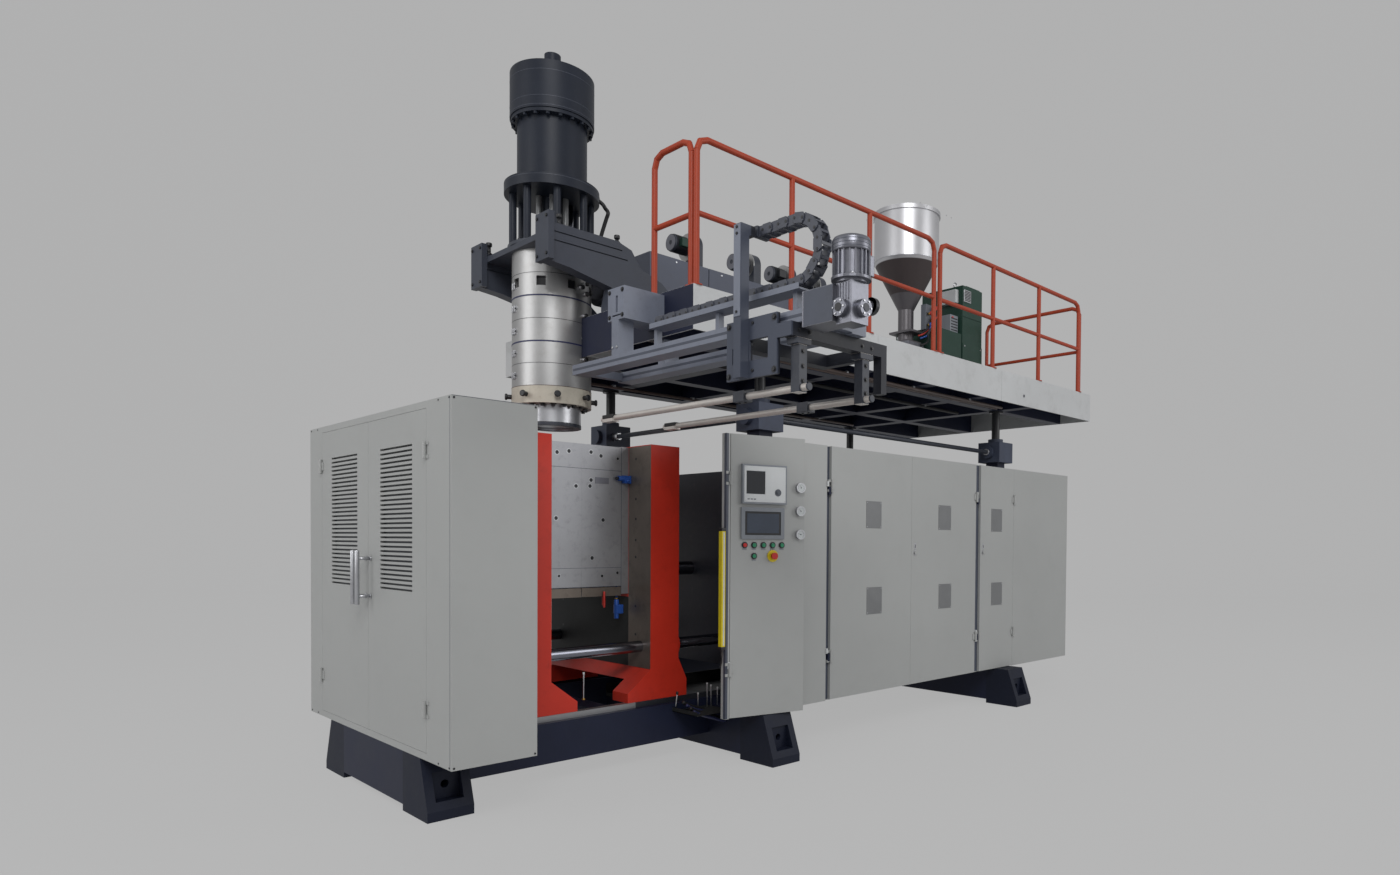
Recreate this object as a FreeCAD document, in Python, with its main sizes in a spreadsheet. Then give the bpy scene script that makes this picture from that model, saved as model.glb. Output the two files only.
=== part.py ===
import FreeCAD, Part
import os
import math
import Sketcher

# Accumulator-head blow moulding machine.  Millimetres, +Z up, +X along the long side.
# Lengths are first laid out from the front left corner of the left enclosure, and
# every sub-part is then shifted by the same origin values.

os.makedirs("parts", exist_ok=True)
doc = FreeCAD.newDocument("machine")
sheet = doc.addObject("Spreadsheet::Sheet", "Sizes")
sheet_row = [1]
nodes = []


def size(name, value):
    """Writes one named value in the sheet and gives back its reference."""
    row = sheet_row[0]
    sheet.set("A%d" % row, name)
    sheet.set("B%d" % row, str(value))
    sheet.setAlias("B%d" % row, name)
    sheet_row[0] = row + 1
    return "Sizes." + name


def bind(thing, prop, expression):
    thing.setExpression(prop, str(expression))


def at(thing, x, y, z):
    bind(thing, "Placement.Base.x", x)
    bind(thing, "Placement.Base.y", y)
    bind(thing, "Placement.Base.z", z)
    return thing


def box(name, x, y, z, length, width, height):
    """A block with its lowest corner at x, y, z."""
    thing = doc.addObject("Part::Box", name)
    bind(thing, "Length", length)
    bind(thing, "Width", width)
    bind(thing, "Height", height)
    return at(thing, x, y, z)


TURNS = {
    "Z": FreeCAD.Rotation(),
    "X": FreeCAD.Rotation(FreeCAD.Vector(0, 1, 0), 90),
    "Y": FreeCAD.Rotation(FreeCAD.Vector(1, 0, 0), -90),
}


def rod(name, x, y, z, radius, length, along="Z"):
    """A cylinder that starts at x, y, z and runs along one axis."""
    thing = doc.addObject("Part::Cylinder", name)
    thing.Placement = FreeCAD.Placement(FreeCAD.Vector(), TURNS[along])
    bind(thing, "Radius", radius)
    bind(thing, "Height", length)
    return at(thing, x, y, z)


def cone(name, x, y, z, radius_1, radius_2, length, along="Z"):
    thing = doc.addObject("Part::Cone", name)
    thing.Placement = FreeCAD.Placement(FreeCAD.Vector(), TURNS[along])
    bind(thing, "Radius1", radius_1)
    bind(thing, "Radius2", radius_2)
    bind(thing, "Height", length)
    return at(thing, x, y, z)


def fuse(name, things):
    thing = doc.addObject("Part::MultiFuse", name)
    thing.Shapes = things
    thing.Refine = True
    return thing


def cut(name, base, tools):
    if len(tools) == 1:
        tool = tools[0]
    else:
        tool = doc.addObject("Part::Compound", name + "_tools")
        tool.Links = tools
    thing = doc.addObject("Part::Cut", name)
    thing.Base = base
    thing.Tool = tool
    thing.Refine = True
    return thing


def group(name, things):
    thing = doc.addObject("Part::Compound", name)
    thing.Links = things
    return thing


def node(label, thing, turned=False):
    """Names a finished sub-part and gives it its Placement."""
    if thing.TypeId in ("Part::Box", "Part::Cylinder", "Part::Cone"):
        thing = group(label + "_whole", [thing])
    thing.Label = label
    if turned:
        thing.Placement = FreeCAD.Placement(
            FreeCAD.Vector(), FreeCAD.Rotation(FreeCAD.Vector(0, 0, -1), 1.0))
        bind(thing, "Placement.Rotation.Angle", door_ajar + " * 1 deg")
        cosine = "cos(" + door_ajar + " * 1 deg)"
        sine = "sin(" + door_ajar + " * 1 deg)"
        hx = hinge_x
        hy = hinge_y
        x = f"{hx} - {hx} * {cosine} - ({hy}) * {sine} - {origin_x}"
        y = f"{hy} + {hx} * {sine} - ({hy}) * {cosine} - {origin_y}"
        at(thing, x, y, 0)
    else:
        at(thing, "-" + origin_x, "-" + origin_y, 0)
    nodes.append((label, thing))
    return thing


def plane_of(body, role):
    for feature in body.Origin.OriginFeatures:
        if feature.Role == role:
            return feature
    return None


def outline(body, name, role, points, offset=None):
    """A closed sketch of straight lines; each corner is held by two bound lengths."""
    sketch = body.newObject("Sketcher::SketchObject", name)
    sketch.AttachmentSupport = (plane_of(body, role), [""])
    sketch.MapMode = "FlatFace"
    if offset is not None:
        bind(sketch, "AttachmentOffset.Base.z", offset)
    values = []
    for u, v in points:
        values.append((value_of(u), value_of(v)))
    count = len(points)
    for i in range(count):
        a = values[i]
        b = values[(i + 1) % count]
        start = FreeCAD.Vector(a[0], a[1], 0)
        end = FreeCAD.Vector(b[0], b[1], 0)
        sketch.addGeometry(Part.LineSegment(start, end), False)
    for i in range(count):
        joined = Sketcher.Constraint("Coincident", i, 2, (i + 1) % count, 1)
        sketch.addConstraint(joined)
    for i in range(count):
        for kind, value, expression in (
                ("DistanceX", values[i][0], points[i][0]),
                ("DistanceY", values[i][1], points[i][1])):
            held = Sketcher.Constraint(kind, -1, 1, i, 1, value)
            index = sketch.addConstraint(held)
            sketch.setExpression("Constraints[%d]" % index, str(expression))
    return sketch


def value_of(expression):
    """The present value of a formula, so that a sketch starts near its solution."""
    sheet.set("D1", "=" + str(expression).replace("Sizes.", ""))
    sheet.recompute()
    return float(sheet.get("D1"))


def pad(body, sketch, length, reverse=False):
    feature = body.newObject("PartDesign::Pad", sketch.Name + "_pad")
    feature.Profile = sketch
    bind(feature, "Length", length)
    feature.Reversed = reverse
    return feature


def pocket(body, sketch, length, reverse=False):
    feature = body.newObject("PartDesign::Pocket", sketch.Name + "_pocket")
    feature.Profile = sketch
    bind(feature, "Length", length)
    feature.Reversed = reverse
    return feature


# ---------------------------------------------------------------- sizes
origin_x = size("origin_x", 3585.5)
origin_y = size("origin_y", 280)

foot_top = size("foot_top", 375)
foot_width = size("foot_width", 285)
foot_raise = size("foot_raise", 40)
foot_toe = size("foot_toe", 60)
foot_cast = size("foot_cast", 370)
foot_slope = size("foot_slope", 110)
foot_eye = size("foot_eye", 25)
left_foot_x = size("left_foot_x", 0)
left_foot_y = size("left_foot_y", 330)
left_foot_end = size("left_foot_end", 2120)
middle_foot_x = size("middle_foot_x", 2325)
middle_foot_y = size("middle_foot_y", -200)
right_foot_x = size("right_foot_x", 5745)
right_foot_y = size("right_foot_y", -255)
foot_end = size("foot_end", 2560)

centre_x = size("centre_x", 1385)
centre_y = size("centre_y", 1360)
beam_front = size("beam_front", 560)
beam_width = size("beam_width", 160)
beam_low = size("beam_low", 150)
beam_plate = size("beam_plate", 55)
beam_high = size("beam_high", 550)
clamp_base_end = size("clamp_base_end", 3000)
rail_width = size("rail_width", 60)
rail_height = size("rail_height", 40)
base_top = f"({foot_top} + {beam_plate})"
rail_top = f"({base_top} + {rail_height})"
beam_rear = f"(2 * {centre_y} - {beam_front} - {beam_width})"
middle_foot_far = f"({middle_foot_x} + {foot_width})"

daylight_half = size("daylight_half", 417)
platen_thick = size("platen_thick", 266)
platen_width = size("platen_width", 1480)
platen_top = size("platen_top", 2430)
platen_low = size("platen_low", 620)
platen_foot = size("platen_foot", 200)
flare_in = size("flare_in", 205)
flare_out = size("flare_out", 80)
mould_width = size("mould_width", 880)
mould_low = size("mould_low", 1335)
mould_top = size("mould_top", 2420)
mould_half = size("mould_half", 350)
tie_radius = size("tie_radius", 45)
tie_low = size("tie_low", 870)
tie_high = size("tie_high", 2100)
tie_inset = size("tie_inset", 140)
tie_nut = size("tie_nut", 75)
tie_nut_radius = size("tie_nut_radius", 85)
tie_fit = size("tie_fit", 0.05)
boss_radius = size("boss_radius", 120)
boss_height = size("boss_height", 30)
rear_plate_x = size("rear_plate_x", 2760)
rear_plate_thick = size("rear_plate_thick", 180)
press_radius = size("press_radius", 160)
press_bore = size("press_bore", 122)
press_length = size("press_length", 750)
press_height = size("press_height", 1450)
rod_radius = size("rod_radius", 60)

sheet_wall = size("sheet_wall", 25)
panel_gap = size("panel_gap", 2)
seat_gap = size("seat_gap", 0.3)
enclosure_length = size("enclosure_length", 525)
enclosure_depth = size("enclosure_depth", 2460)
enclosure_top = size("enclosure_top", 2510)
louvre_door_width = size("louvre_door_width", 925)
door_seam_y = size("door_seam_y", 1270)
door_margin = size("door_margin", 45)
louvre_low = size("louvre_low", 1370)
louvre_count = 31
louvre_pitch = size("louvre_pitch", 29.6)
louvre_slot = size("louvre_slot", 13)
louvre_length = size("louvre_length", 515)
louvre_inset = size("louvre_inset", 205)
pull_radius = size("pull_radius", 14)
pull_stand = size("pull_stand", 85)
pull_low = size("pull_low", 1260)
pull_length = size("pull_length", 355)
pull_offset = size("pull_offset", 40)
hinge_pin = size("hinge_pin", 6)
hinge_knuckle = size("hinge_knuckle", 12)
hinge_fit = size("hinge_fit", 0.05)
hinge_length = size("hinge_length", 60)
hinge_lug = size("hinge_lug", 20)

cabinet_depth = size("cabinet_depth", 560)
cabinet_top = size("cabinet_top", 2490)
control_x = size("control_x", 2025)
control_post = size("control_post", 35)
control_door_width = size("control_door_width", 636)
door_ajar = size("door_ajar", 15)
electrical_x = size("electrical_x", 3111)
electrical_end = size("electrical_end", 5380)
left_door_x = size("left_door_x", 3165)
right_door_end = size("right_door_end", 5336)
door_split_x = size("door_split_x", 4264)
right_end = size("right_end", 7270)
right_door_x = size("right_door_x", 5421)
right_door_width = size("right_door_width", 644)
hinge_x = f"({control_x} + {control_post})"
hinge_y = f"(-{hinge_knuckle})"

platform_x = size("platform_x", 1475)
platform_end = size("platform_end", 7210)
platform_y = size("platform_y", -300)
platform_rear = size("platform_rear", 2300)
platform_low = size("platform_low", 3100)
platform_high = size("platform_high", 300)
deck_thick = size("deck_thick", 10)
deck_top = f"({platform_low} + {platform_high})"
jack_front = size("jack_front", 125)
jack_rear = size("jack_rear", 2200)
jack_column = size("jack_column", 140)
jack_column_top = size("jack_column_top", 2550)
jack_bore_low = size("jack_bore_low", 2100)
jack_bore = size("jack_bore", 47)
jack_plate = size("jack_plate", 300)
jack_plate_thick = size("jack_plate_thick", 20)
jack_box = size("jack_box", 260)
jack_box_high = size("jack_box_high", 210)
jack_screw = size("jack_screw", 42)
jack_screw_low = size("jack_screw_low", 2200)
jack_flange = size("jack_flange", 75)
fit = size("fit", 0.05)
middle_jack_x = f"({middle_foot_x} + {foot_width} / 2)"
right_jack_x = f"({right_foot_x} + {foot_width} / 2)"
JACKS = [
    ("mf", middle_jack_x, jack_front),
    ("mr", middle_jack_x, jack_rear),
    ("rf", right_jack_x, jack_front),
    ("rr", right_jack_x, jack_rear),
]

# ---------------------------------------------------------------- base frame
parts = []
for tag, y in (("front", beam_front), ("rear", beam_rear)):
    plate_x = f"{left_foot_x} + {sheet_wall} + 15"
    plate_length = f"{clamp_base_end} - ({plate_x})"
    parts.append(box("plate_" + tag, plate_x, y, foot_top, plate_length, beam_width, beam_plate))
    web_x = f"{left_foot_x} + {foot_width}"
    web_length = f"{middle_foot_x} - ({web_x})"
    web_high = f"{foot_top} - {beam_low}"
    parts.append(box("web_" + tag, web_x, y, beam_low, web_length, beam_width, web_high))
    long_length = f"{right_foot_x} + {foot_width} - {clamp_base_end}"
    long_high = f"{beam_high} - {foot_top}"
    parts.append(box("long_" + tag, clamp_base_end, y, foot_top, long_length, beam_width, long_high))
cross_y = f"{beam_front} + {beam_width}"
cross_width = f"{beam_rear} - {beam_front} - {beam_width}"
cross_high = f"{foot_top} - {beam_low}"
cross_pitch = f"({middle_foot_x} - {left_foot_x} - {foot_width}) / 3"
for i in (1, 2):
    cross_x = f"{left_foot_x} + {foot_width} + {i} * {cross_pitch} - {beam_width} / 2"
    parts.append(box("cross_%d" % i, cross_x, cross_y, beam_low, beam_width, cross_width, cross_high))
for i in (1, 2):
    cross_x = f"{clamp_base_end} + {i} * ({right_foot_x} - {clamp_base_end}) / 3"
    high = f"{beam_high} - {foot_top}"
    parts.append(box("tie_%d" % i, cross_x, cross_y, foot_top, beam_width, cross_width, high))
FEET = [
    ("left", left_foot_x, left_foot_y, left_foot_end),
    ("middle", middle_foot_x, middle_foot_y, foot_end),
    ("right", right_foot_x, right_foot_y, foot_end),
]
for tag, x, y_near, y_far in FEET:
    y = f"{y_near} + {foot_cast}"
    length = f"{y_far} - {y_near} - 2 * {foot_cast}"
    high = f"{foot_top} - {foot_raise}"
    parts.append(box("foot_beam_" + tag, x, y, foot_raise, foot_width, length, high))
for tag, x, y in JACKS:
    px = f"{x} - {jack_plate} / 2"
    py = f"{y} - {jack_column} / 2"
    parts.append(box("jack_plate_" + tag, px, py, foot_top, jack_plate, jack_column, jack_plate_thick))
    cx = f"{x} - {jack_column} / 2"
    cy = f"{y} - {jack_column} / 2"
    high = f"{jack_column_top} - {foot_top}"
    parts.append(box("jack_column_" + tag, cx, cy, foot_top, jack_column, jack_column, high))
frame = fuse("base_solid", parts)
bores = []
for tag, x, y in JACKS:
    length = f"{jack_column_top} - {jack_bore_low} + 1"
    bores.append(rod("jack_bore_" + tag, x, y, jack_bore_low, jack_bore, length))
node("base_frame", cut("base_cut", frame, bores))

# ---------------------------------------------------------------- cast feet
castings = []
for tag, x, y_near, y_far in FEET:
    for end in ("near", "far"):
        if end == "near":
            tip = y_near
            sign = "+"
        else:
            tip = y_far
            sign = "-"
        body = doc.addObject("PartDesign::Body", "foot_%s_%s" % (tag, end))
        points = [
            (tip, 0),
            (f"{tip} {sign} {foot_cast}", 0),
            (f"{tip} {sign} {foot_cast}", foot_top),
            (f"{tip} {sign} {foot_slope}", foot_top),
            (tip, foot_toe),
        ]
        name = "foot_outline_%s_%s" % (tag, end)
        sketch = outline(body, name, "YZ_Plane", points, x)
        pad(body, sketch, foot_width)
        recess_x = f"{x} + {foot_width} * 0.2"
        recess_w = f"{foot_width} * 0.6"
        recess_z = f"{foot_toe} + 50"
        recess_h = f"{foot_top} - {foot_toe} - 145"
        recess_d = f"{foot_slope} - 15"
        if end == "near":
            recess_y = tip
            eye_y = tip
        else:
            recess_y = f"{tip} - {recess_d}"
            eye_y = f"{tip} - {foot_cast} + 60"
        eye_z = f"{foot_toe} + 50 + ({recess_h}) / 2"
        eye_x = f"{x} + {foot_width} / 2"
        recess = box("recess_%s_%s" % (tag, end), recess_x, recess_y, recess_z,
                     recess_w, recess_d, recess_h)
        eye = rod("eye_%s_%s" % (tag, end), eye_x, eye_y, eye_z, foot_eye,
                  f"{foot_cast} - 60", "Y")
        castings.append(cut("casting_%s_%s" % (tag, end), body, [recess, eye]))
node("cast_feet", group("cast_feet_all", castings))

# ---------------------------------------------------------------- guide rails
rails = []
for tag, y in (("front", beam_front), ("rear", beam_rear)):
    rail_x = f"{left_foot_x} + {sheet_wall} + 15"
    rail_y = f"{y} + ({beam_width} - {rail_width}) / 2"
    length = f"{clamp_base_end} - ({rail_x})"
    rails.append(box("rail_" + tag, rail_x, rail_y, base_top, length, rail_width, rail_height))
node("guide_rails", group("guide_rails_all", rails))


# ---------------------------------------------------------------- hinges
def hinge(tag, x, y, z, face, side, back):
    """One knuckle hinge in front of a face; gives door, frame and hole pieces."""
    leaf = 40
    thick = 6
    seat = seat_gap
    door = []
    fixed = []
    holes = []
    door.append(rod("knuckle_" + tag, x, y, z, hinge_knuckle, hinge_length))
    pin_z = f"{z} - {hinge_lug}"
    pin_length = f"{hinge_length} + 2 * {hinge_lug}"
    door.append(rod("pin_" + tag, x, y, pin_z, hinge_pin, pin_length))
    lugs = [
        ("low", f"{z} - {hinge_lug} - {seat}"),
        ("high", f"{z} + {hinge_length} + {seat}"),
    ]
    if side > 0:
        door_shift = 0
        lug_shift = -leaf
    else:
        door_shift = -leaf
        lug_shift = 0
    if face == "Y":
        leaf_y = f"{y} + {hinge_knuckle} - {thick}"
        depth = f"{back} - ({leaf_y})"
        door.append(box("leaf_" + tag, f"{x} + {door_shift}", leaf_y, z, leaf, thick, hinge_length))
        for end, lug_z in lugs:
            lug_x = f"{x} + {lug_shift}"
            fixed.append(box("lug_%s_%s" % (end, tag), lug_x, leaf_y, lug_z, leaf, depth, hinge_lug))
    else:
        leaf_x = f"{x} + {hinge_knuckle} - {thick}"
        door.append(box("leaf_" + tag, leaf_x, f"{y} + {door_shift}", z, thick, leaf, hinge_length))
        for end, lug_z in lugs:
            lug_y = f"{y} + {lug_shift}"
            fixed.append(box("lug_%s_%s" % (end, tag), leaf_x, lug_y, lug_z, thick, leaf, hinge_lug))
    for end, lug_z in lugs:
        fixed.append(rod("eye_%s_%s" % (end, tag), x, y, lug_z, hinge_knuckle, hinge_lug))
        hole = f"{hinge_pin} + {hinge_fit}"
        holes.append(rod("hole_%s_%s" % (end, tag), x, y, f"{lug_z} - 1", hole, f"{hinge_lug} + 2"))
    return door, fixed, holes


# ---------------------------------------------------------------- left enclosure
high = f"{enclosure_top} - {foot_top}"
shell = box("enclosure_outer", 0, 0, foot_top, enclosure_length, enclosure_depth, high)
room = box("enclosure_room", sheet_wall, sheet_wall, f"{foot_top} - 1",
           f"{enclosure_length} - {sheet_wall} + 1", f"{enclosure_depth} - 2 * {sheet_wall}",
           f"{high} - {sheet_wall} + 1")
door_low = f"({foot_top} + {door_margin})"
door_high = f"({enclosure_top} - {foot_top} - 2 * {door_margin})"
gate = box("enclosure_gate", -1, f"{door_seam_y} - {louvre_door_width} - {panel_gap}",
           f"{door_low} - {panel_gap}", f"{sheet_wall} + 2",
           f"2 * {louvre_door_width} + 2 * {panel_gap}", f"{door_high} + 2 * {panel_gap}")
shell = cut("enclosure_walls", shell, [room, gate])
enclosure_parts = [shell]
enclosure_holes = []
for tag, sign in (("front", -1), ("rear", 1)):
    if tag == "front":
        y0 = f"({door_seam_y} - {louvre_door_width})"
        edge = y0
        side = 1
        slot_y = f"{door_seam_y} - {louvre_inset} - {louvre_length}"
        pull_y = f"{door_seam_y} - {pull_offset}"
    else:
        y0 = f"({door_seam_y} + {panel_gap} / 2)"
        edge = f"({door_seam_y} + {louvre_door_width})"
        side = -1
        slot_y = f"{door_seam_y} + {louvre_inset}"
        pull_y = f"{door_seam_y} + {pull_offset}"
    width = f"{louvre_door_width} - {panel_gap} / 2"
    leaf_parts = [box("louvre_panel_" + tag, 0, y0, door_low, sheet_wall, width, door_high)]
    leaf_parts.append(rod("pull_bar_" + tag, f"-{pull_stand}", pull_y, pull_low,
                          pull_radius, pull_length))
    for end, share in (("low", "0.15"), ("high", "0.85")):
        stand_z = f"{pull_low} + {share} * {pull_length}"
        leaf_parts.append(rod("pull_stand_%s_%s" % (end, tag), f"-{pull_stand}", pull_y,
                              stand_z, f"{pull_radius} * 0.7", pull_stand, "X"))
    for end, share in (("low", "0.13"), ("high", "0.85")):
        hinge_z = f"{foot_top} + {share} * ({enclosure_top} - {foot_top})"
        moving, fixed, holes = hinge("louvre_%s_%s" % (end, tag), f"(-{hinge_knuckle})", edge,
                                     f"({hinge_z})", "X", side, 0)
        leaf_parts.extend(moving)
        enclosure_parts.extend(fixed)
        enclosure_holes.extend(holes)
    slots = []
    for i in range(louvre_count):
        slot_z = f"{louvre_low} + {i} * {louvre_pitch}"
        slots.append(box("slot_%s_%d" % (tag, i), -1, slot_y, slot_z, f"{sheet_wall} + 2",
                         louvre_length, louvre_slot))
    leaf_solid = fuse("louvre_leaf_" + tag, leaf_parts)
    node("louvre_door_" + tag, cut("louvre_cut_" + tag, leaf_solid, slots))
shell = fuse("enclosure_fused", enclosure_parts)
node("enclosure_shell", cut("enclosure_drilled", shell, enclosure_holes))

# ---------------------------------------------------------------- cabinets
frame_y = f"({sheet_wall} + {seat_gap})"
cabinet_high = f"({cabinet_top} - {foot_top})"
panel_low = f"({foot_top} + 5)"
panel_high = f"({cabinet_top} - {foot_top} - 5)"
rim = size("rim", 30)


def cabinet(tag, x, end, gates, floor):
    """A hollow cabinet whose front wall stands behind its doors."""
    width = f"{end} - ({x})"
    outer = box(tag + "_outer", x, frame_y, foot_top, width, f"{cabinet_depth} - {frame_y}",
                cabinet_high)
    inner_low = f"{foot_top} - 1"
    inner_high = f"{cabinet_high} - {sheet_wall} + 1"
    if floor:
        inner_low = f"{foot_top} + {sheet_wall}"
        inner_high = f"{cabinet_high} - 2 * {sheet_wall}"
    tools = [box(tag + "_room", f"{x} + {sheet_wall}", f"{frame_y} + {sheet_wall}", inner_low,
                 f"{width} - 2 * {sheet_wall}",
                 f"{cabinet_depth} - {frame_y} - 2 * {sheet_wall}", inner_high)]
    for i, (gate_x, gate_end) in enumerate(gates):
        tools.append(box("%s_gate_%d" % (tag, i), f"{gate_x} + {rim}", f"{frame_y} - 1",
                         f"{foot_top} + {door_margin}",
                         f"{gate_end} - ({gate_x}) - 2 * {rim}", f"{sheet_wall} + 2",
                         f"{cabinet_high} - 2 * {door_margin}"))
    return outer, tools


def column_hole(tag, x):
    side = f"{jack_column} + 20"
    return box(tag + "_column_hole", f"{x} - {jack_column} / 2 - 10",
               f"{jack_front} - {jack_column} / 2 - 10", f"{cabinet_top} - {sheet_wall} - 1",
               side, side, f"{sheet_wall} + 2")


HINGE_SHARES = (("low", "0.16"), ("high", "0.83"))
control_door_end = f"({hinge_x} + {control_door_width})"
outer, tools = cabinet("control", control_x, electrical_x, [(hinge_x, control_door_end)], False)
tools.append(box("control_open", f"{control_x} - 1", f"{frame_y} + {sheet_wall}", f"{foot_top} - 1",
                 f"{control_door_end} - {control_x} + 1", cabinet_depth, f"{cabinet_high} + 2"))
solid = cut("control_walls", outer, tools)
parts = [solid, box("control_partition", control_door_end, f"{frame_y} + {sheet_wall} - 1",
                    foot_top, sheet_wall, f"{cabinet_depth} - {frame_y} - {sheet_wall} + 1",
                    cabinet_high)]
parts.append(box("control_post", control_x, 0, foot_top, control_post, frame_y, cabinet_high))
fixed_x = f"{control_door_end} + {panel_gap}"
parts.append(box("control_fixed", fixed_x, 0, foot_top, f"{electrical_x} - ({fixed_x})",
                 frame_y, cabinet_high))
door_parts = [box("control_leaf", f"{hinge_x} + {panel_gap}", 0, panel_low,
                  f"{control_door_width} - {panel_gap}", sheet_wall, panel_high)]
holes = []
for end, share in HINGE_SHARES:
    z = f"({foot_top} + {share} * {cabinet_high})"
    moving, fixed, drilled = hinge("control_" + end, hinge_x, hinge_y, z, "Y", 1, 0)
    door_parts.extend(moving)
    parts.extend(fixed)
    holes.extend(drilled)
node("control_cabinet", cut("control_drilled", fuse("control_fused", parts), holes))

# ---------------------------------------------------------------- control door and what it carries
button_first = size("button_first", 118)
button_pitch = size("button_pitch", 79)
button_row = size("button_row", 1667)
second_row = size("second_row", 1585)
button_radius = size("button_radius", 15)
button_stands = size("button_stands", 14)
button_length = size("button_length", 20)
ring_radius = size("ring_radius", 20)
ring_stands = size("ring_stands", 6)
stop_radius = size("stop_radius", 26)
stop_stem = size("stop_stem", 12)
stop_ring = size("stop_ring", 34)
stop_stands = size("stop_stands", 44)
stop_head = size("stop_head", 18)
BUTTONS = []
for i in range(5):
    BUTTONS.append(("button_%d" % (i + 1), f"({hinge_x} + {button_first} + {i} * {button_pitch})",
                    button_row))
BUTTONS.append(("button_6", f"({hinge_x} + {button_first} + {button_pitch})", second_row))
stop_x = f"({hinge_x} + {button_first} + 3 * {button_pitch})"
drilled = []
for name, x, z in BUTTONS:
    door_parts.append(rod("ring_" + name, x, f"-{ring_stands}", z, ring_radius, ring_stands, "Y"))
    drilled.append(rod("socket_" + name, x, f"-{ring_stands} - 1", z,
                       f"{button_radius} + {fit}", f"{sheet_wall} + {ring_stands} + 2", "Y"))
door_parts.append(rod("ring_stop", stop_x, f"-{ring_stands}", second_row, stop_ring,
                      ring_stands, "Y"))
drilled.append(rod("socket_stop", stop_x, f"-{ring_stands} - 1", second_row,
                   f"{stop_stem} + {fit}", f"{sheet_wall} + {ring_stands} + 2", "Y"))
node("control_door", cut("control_door_cut", fuse("control_door_fused", door_parts), drilled), True)
for name, x, z in BUTTONS:
    node(name, rod(name + "_cap", x, f"-{button_stands}", z, button_radius, button_length, "Y"), True)
head = rod("stop_knob", stop_x, f"-{stop_stands}", second_row, stop_radius, stop_head, "Y")
stem = rod("stop_stalk", stop_x, f"-{stop_stands} + {stop_head}", second_row, stop_stem,
           f"{stop_stands} - {stop_head} + 8", "Y")
node("emergency_stop", fuse("stop_fused", [head, stem]), True)

unit_x = size("unit_x", 86)
unit_low = size("unit_low", 1976)
unit_width = size("unit_width", 376)
unit_high = size("unit_high", 294)
unit_stands = size("unit_stands", 30)
touch_low = size("touch_low", 1712)
touch_width = size("touch_width", 365)
touch_high = size("touch_high", 238)
touch_stands = size("touch_stands", 14)
screen_rim = size("screen_rim", 30)
controller = box("controller_case", f"{hinge_x} + {unit_x}", f"-{unit_stands}", unit_low,
                 unit_width, unit_stands, unit_high)
window = box("controller_window", f"{hinge_x} + {unit_x} + {screen_rim}", f"-{unit_stands} - 1",
             f"{unit_low} + {unit_high} * 0.25", f"{unit_width} * 0.42", 7, f"{unit_high} * 0.58")
dial = rod("controller_dial", f"{hinge_x} + {unit_x} + {unit_width} * 0.79",
           f"-{unit_stands} - 1", f"{unit_low} + {unit_high} * 0.3", f"{unit_width} * 0.13", 5, "Y")
controller = cut("controller_cut", controller, [window, dial])
touch = box("touch_case", f"{hinge_x} + {unit_x}", f"-{touch_stands}", touch_low, touch_width,
            touch_stands, touch_high)
glass = box("touch_glass", f"{hinge_x} + {unit_x} + {screen_rim}", f"-{touch_stands} - 1",
            f"{touch_low} + {screen_rim}", f"{touch_width} - 2 * {screen_rim}", 5,
            f"{touch_high} - 2 * {screen_rim}")
touch = cut("touch_cut", touch, [glass])
node("operator_units", group("operator_pair", [controller, touch]), True)

gauge_x = size("gauge_x", 588)
gauge_radius = size("gauge_radius", 37)
gauge_stands = size("gauge_stands", 28)
gauge_low = size("gauge_low", 1750)
gauge_pitch = size("gauge_pitch", 180)
gauges = []
for i in range(3):
    z = f"{gauge_low} + {i} * {gauge_pitch}"
    case = rod("gauge_case_%d" % i, f"{hinge_x} + {gauge_x}", f"-{gauge_stands}", z,
               gauge_radius, gauge_stands, "Y")
    dial = rod("gauge_dial_%d" % i, f"{hinge_x} + {gauge_x}", f"-{gauge_stands} - 1", z,
               f"{gauge_radius} - 6", 7, "Y")
    gauges.append(cut("gauge_%d" % i, case, [dial]))
node("pressure_gauges", group("gauges_all", gauges), True)

# ---------------------------------------------------------------- electrical and right cabinets
gates = [(left_door_x, door_split_x), (door_split_x, right_door_end)]
outer, tools = cabinet("electrical", electrical_x, electrical_end, gates, True)
parts = [cut("electrical_walls", outer, tools)]
holes = []
lock_radius = size("lock_radius", 16)
lock_height = size("lock_height", 1600)
for tag, x, end, side in (
        ("left", left_door_x, f"{door_split_x} - {panel_gap} / 2", 1),
        ("right", f"({door_split_x} + {panel_gap} / 2)", right_door_end, -1)):
    leaf_parts = [box("cabinet_leaf_" + tag, x, 0, panel_low, f"{end} - ({x})", sheet_wall,
                      panel_high)]
    axis = f"({x} - {panel_gap})"
    if side < 0:
        axis = f"({end} + {panel_gap})"
        lock = rod("lock_" + tag, f"{x} + 55", -12, lock_height, lock_radius, 12, "Y")
        leaf_parts.append(lock)
    for level, share in HINGE_SHARES:
        z = f"({foot_top} + {share} * {cabinet_high})"
        moving, fixed, drilled = hinge("cabinet_%s_%s" % (tag, level), axis, hinge_y, z, "Y",
                                       side, frame_y)
        leaf_parts.extend(moving)
        parts.extend(fixed)
        holes.extend(drilled)
    node("cabinet_door_" + tag, fuse("cabinet_door_fused_" + tag, leaf_parts))
node("electrical_cabinet", cut("electrical_drilled", fuse("electrical_fused", parts), holes))

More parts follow.
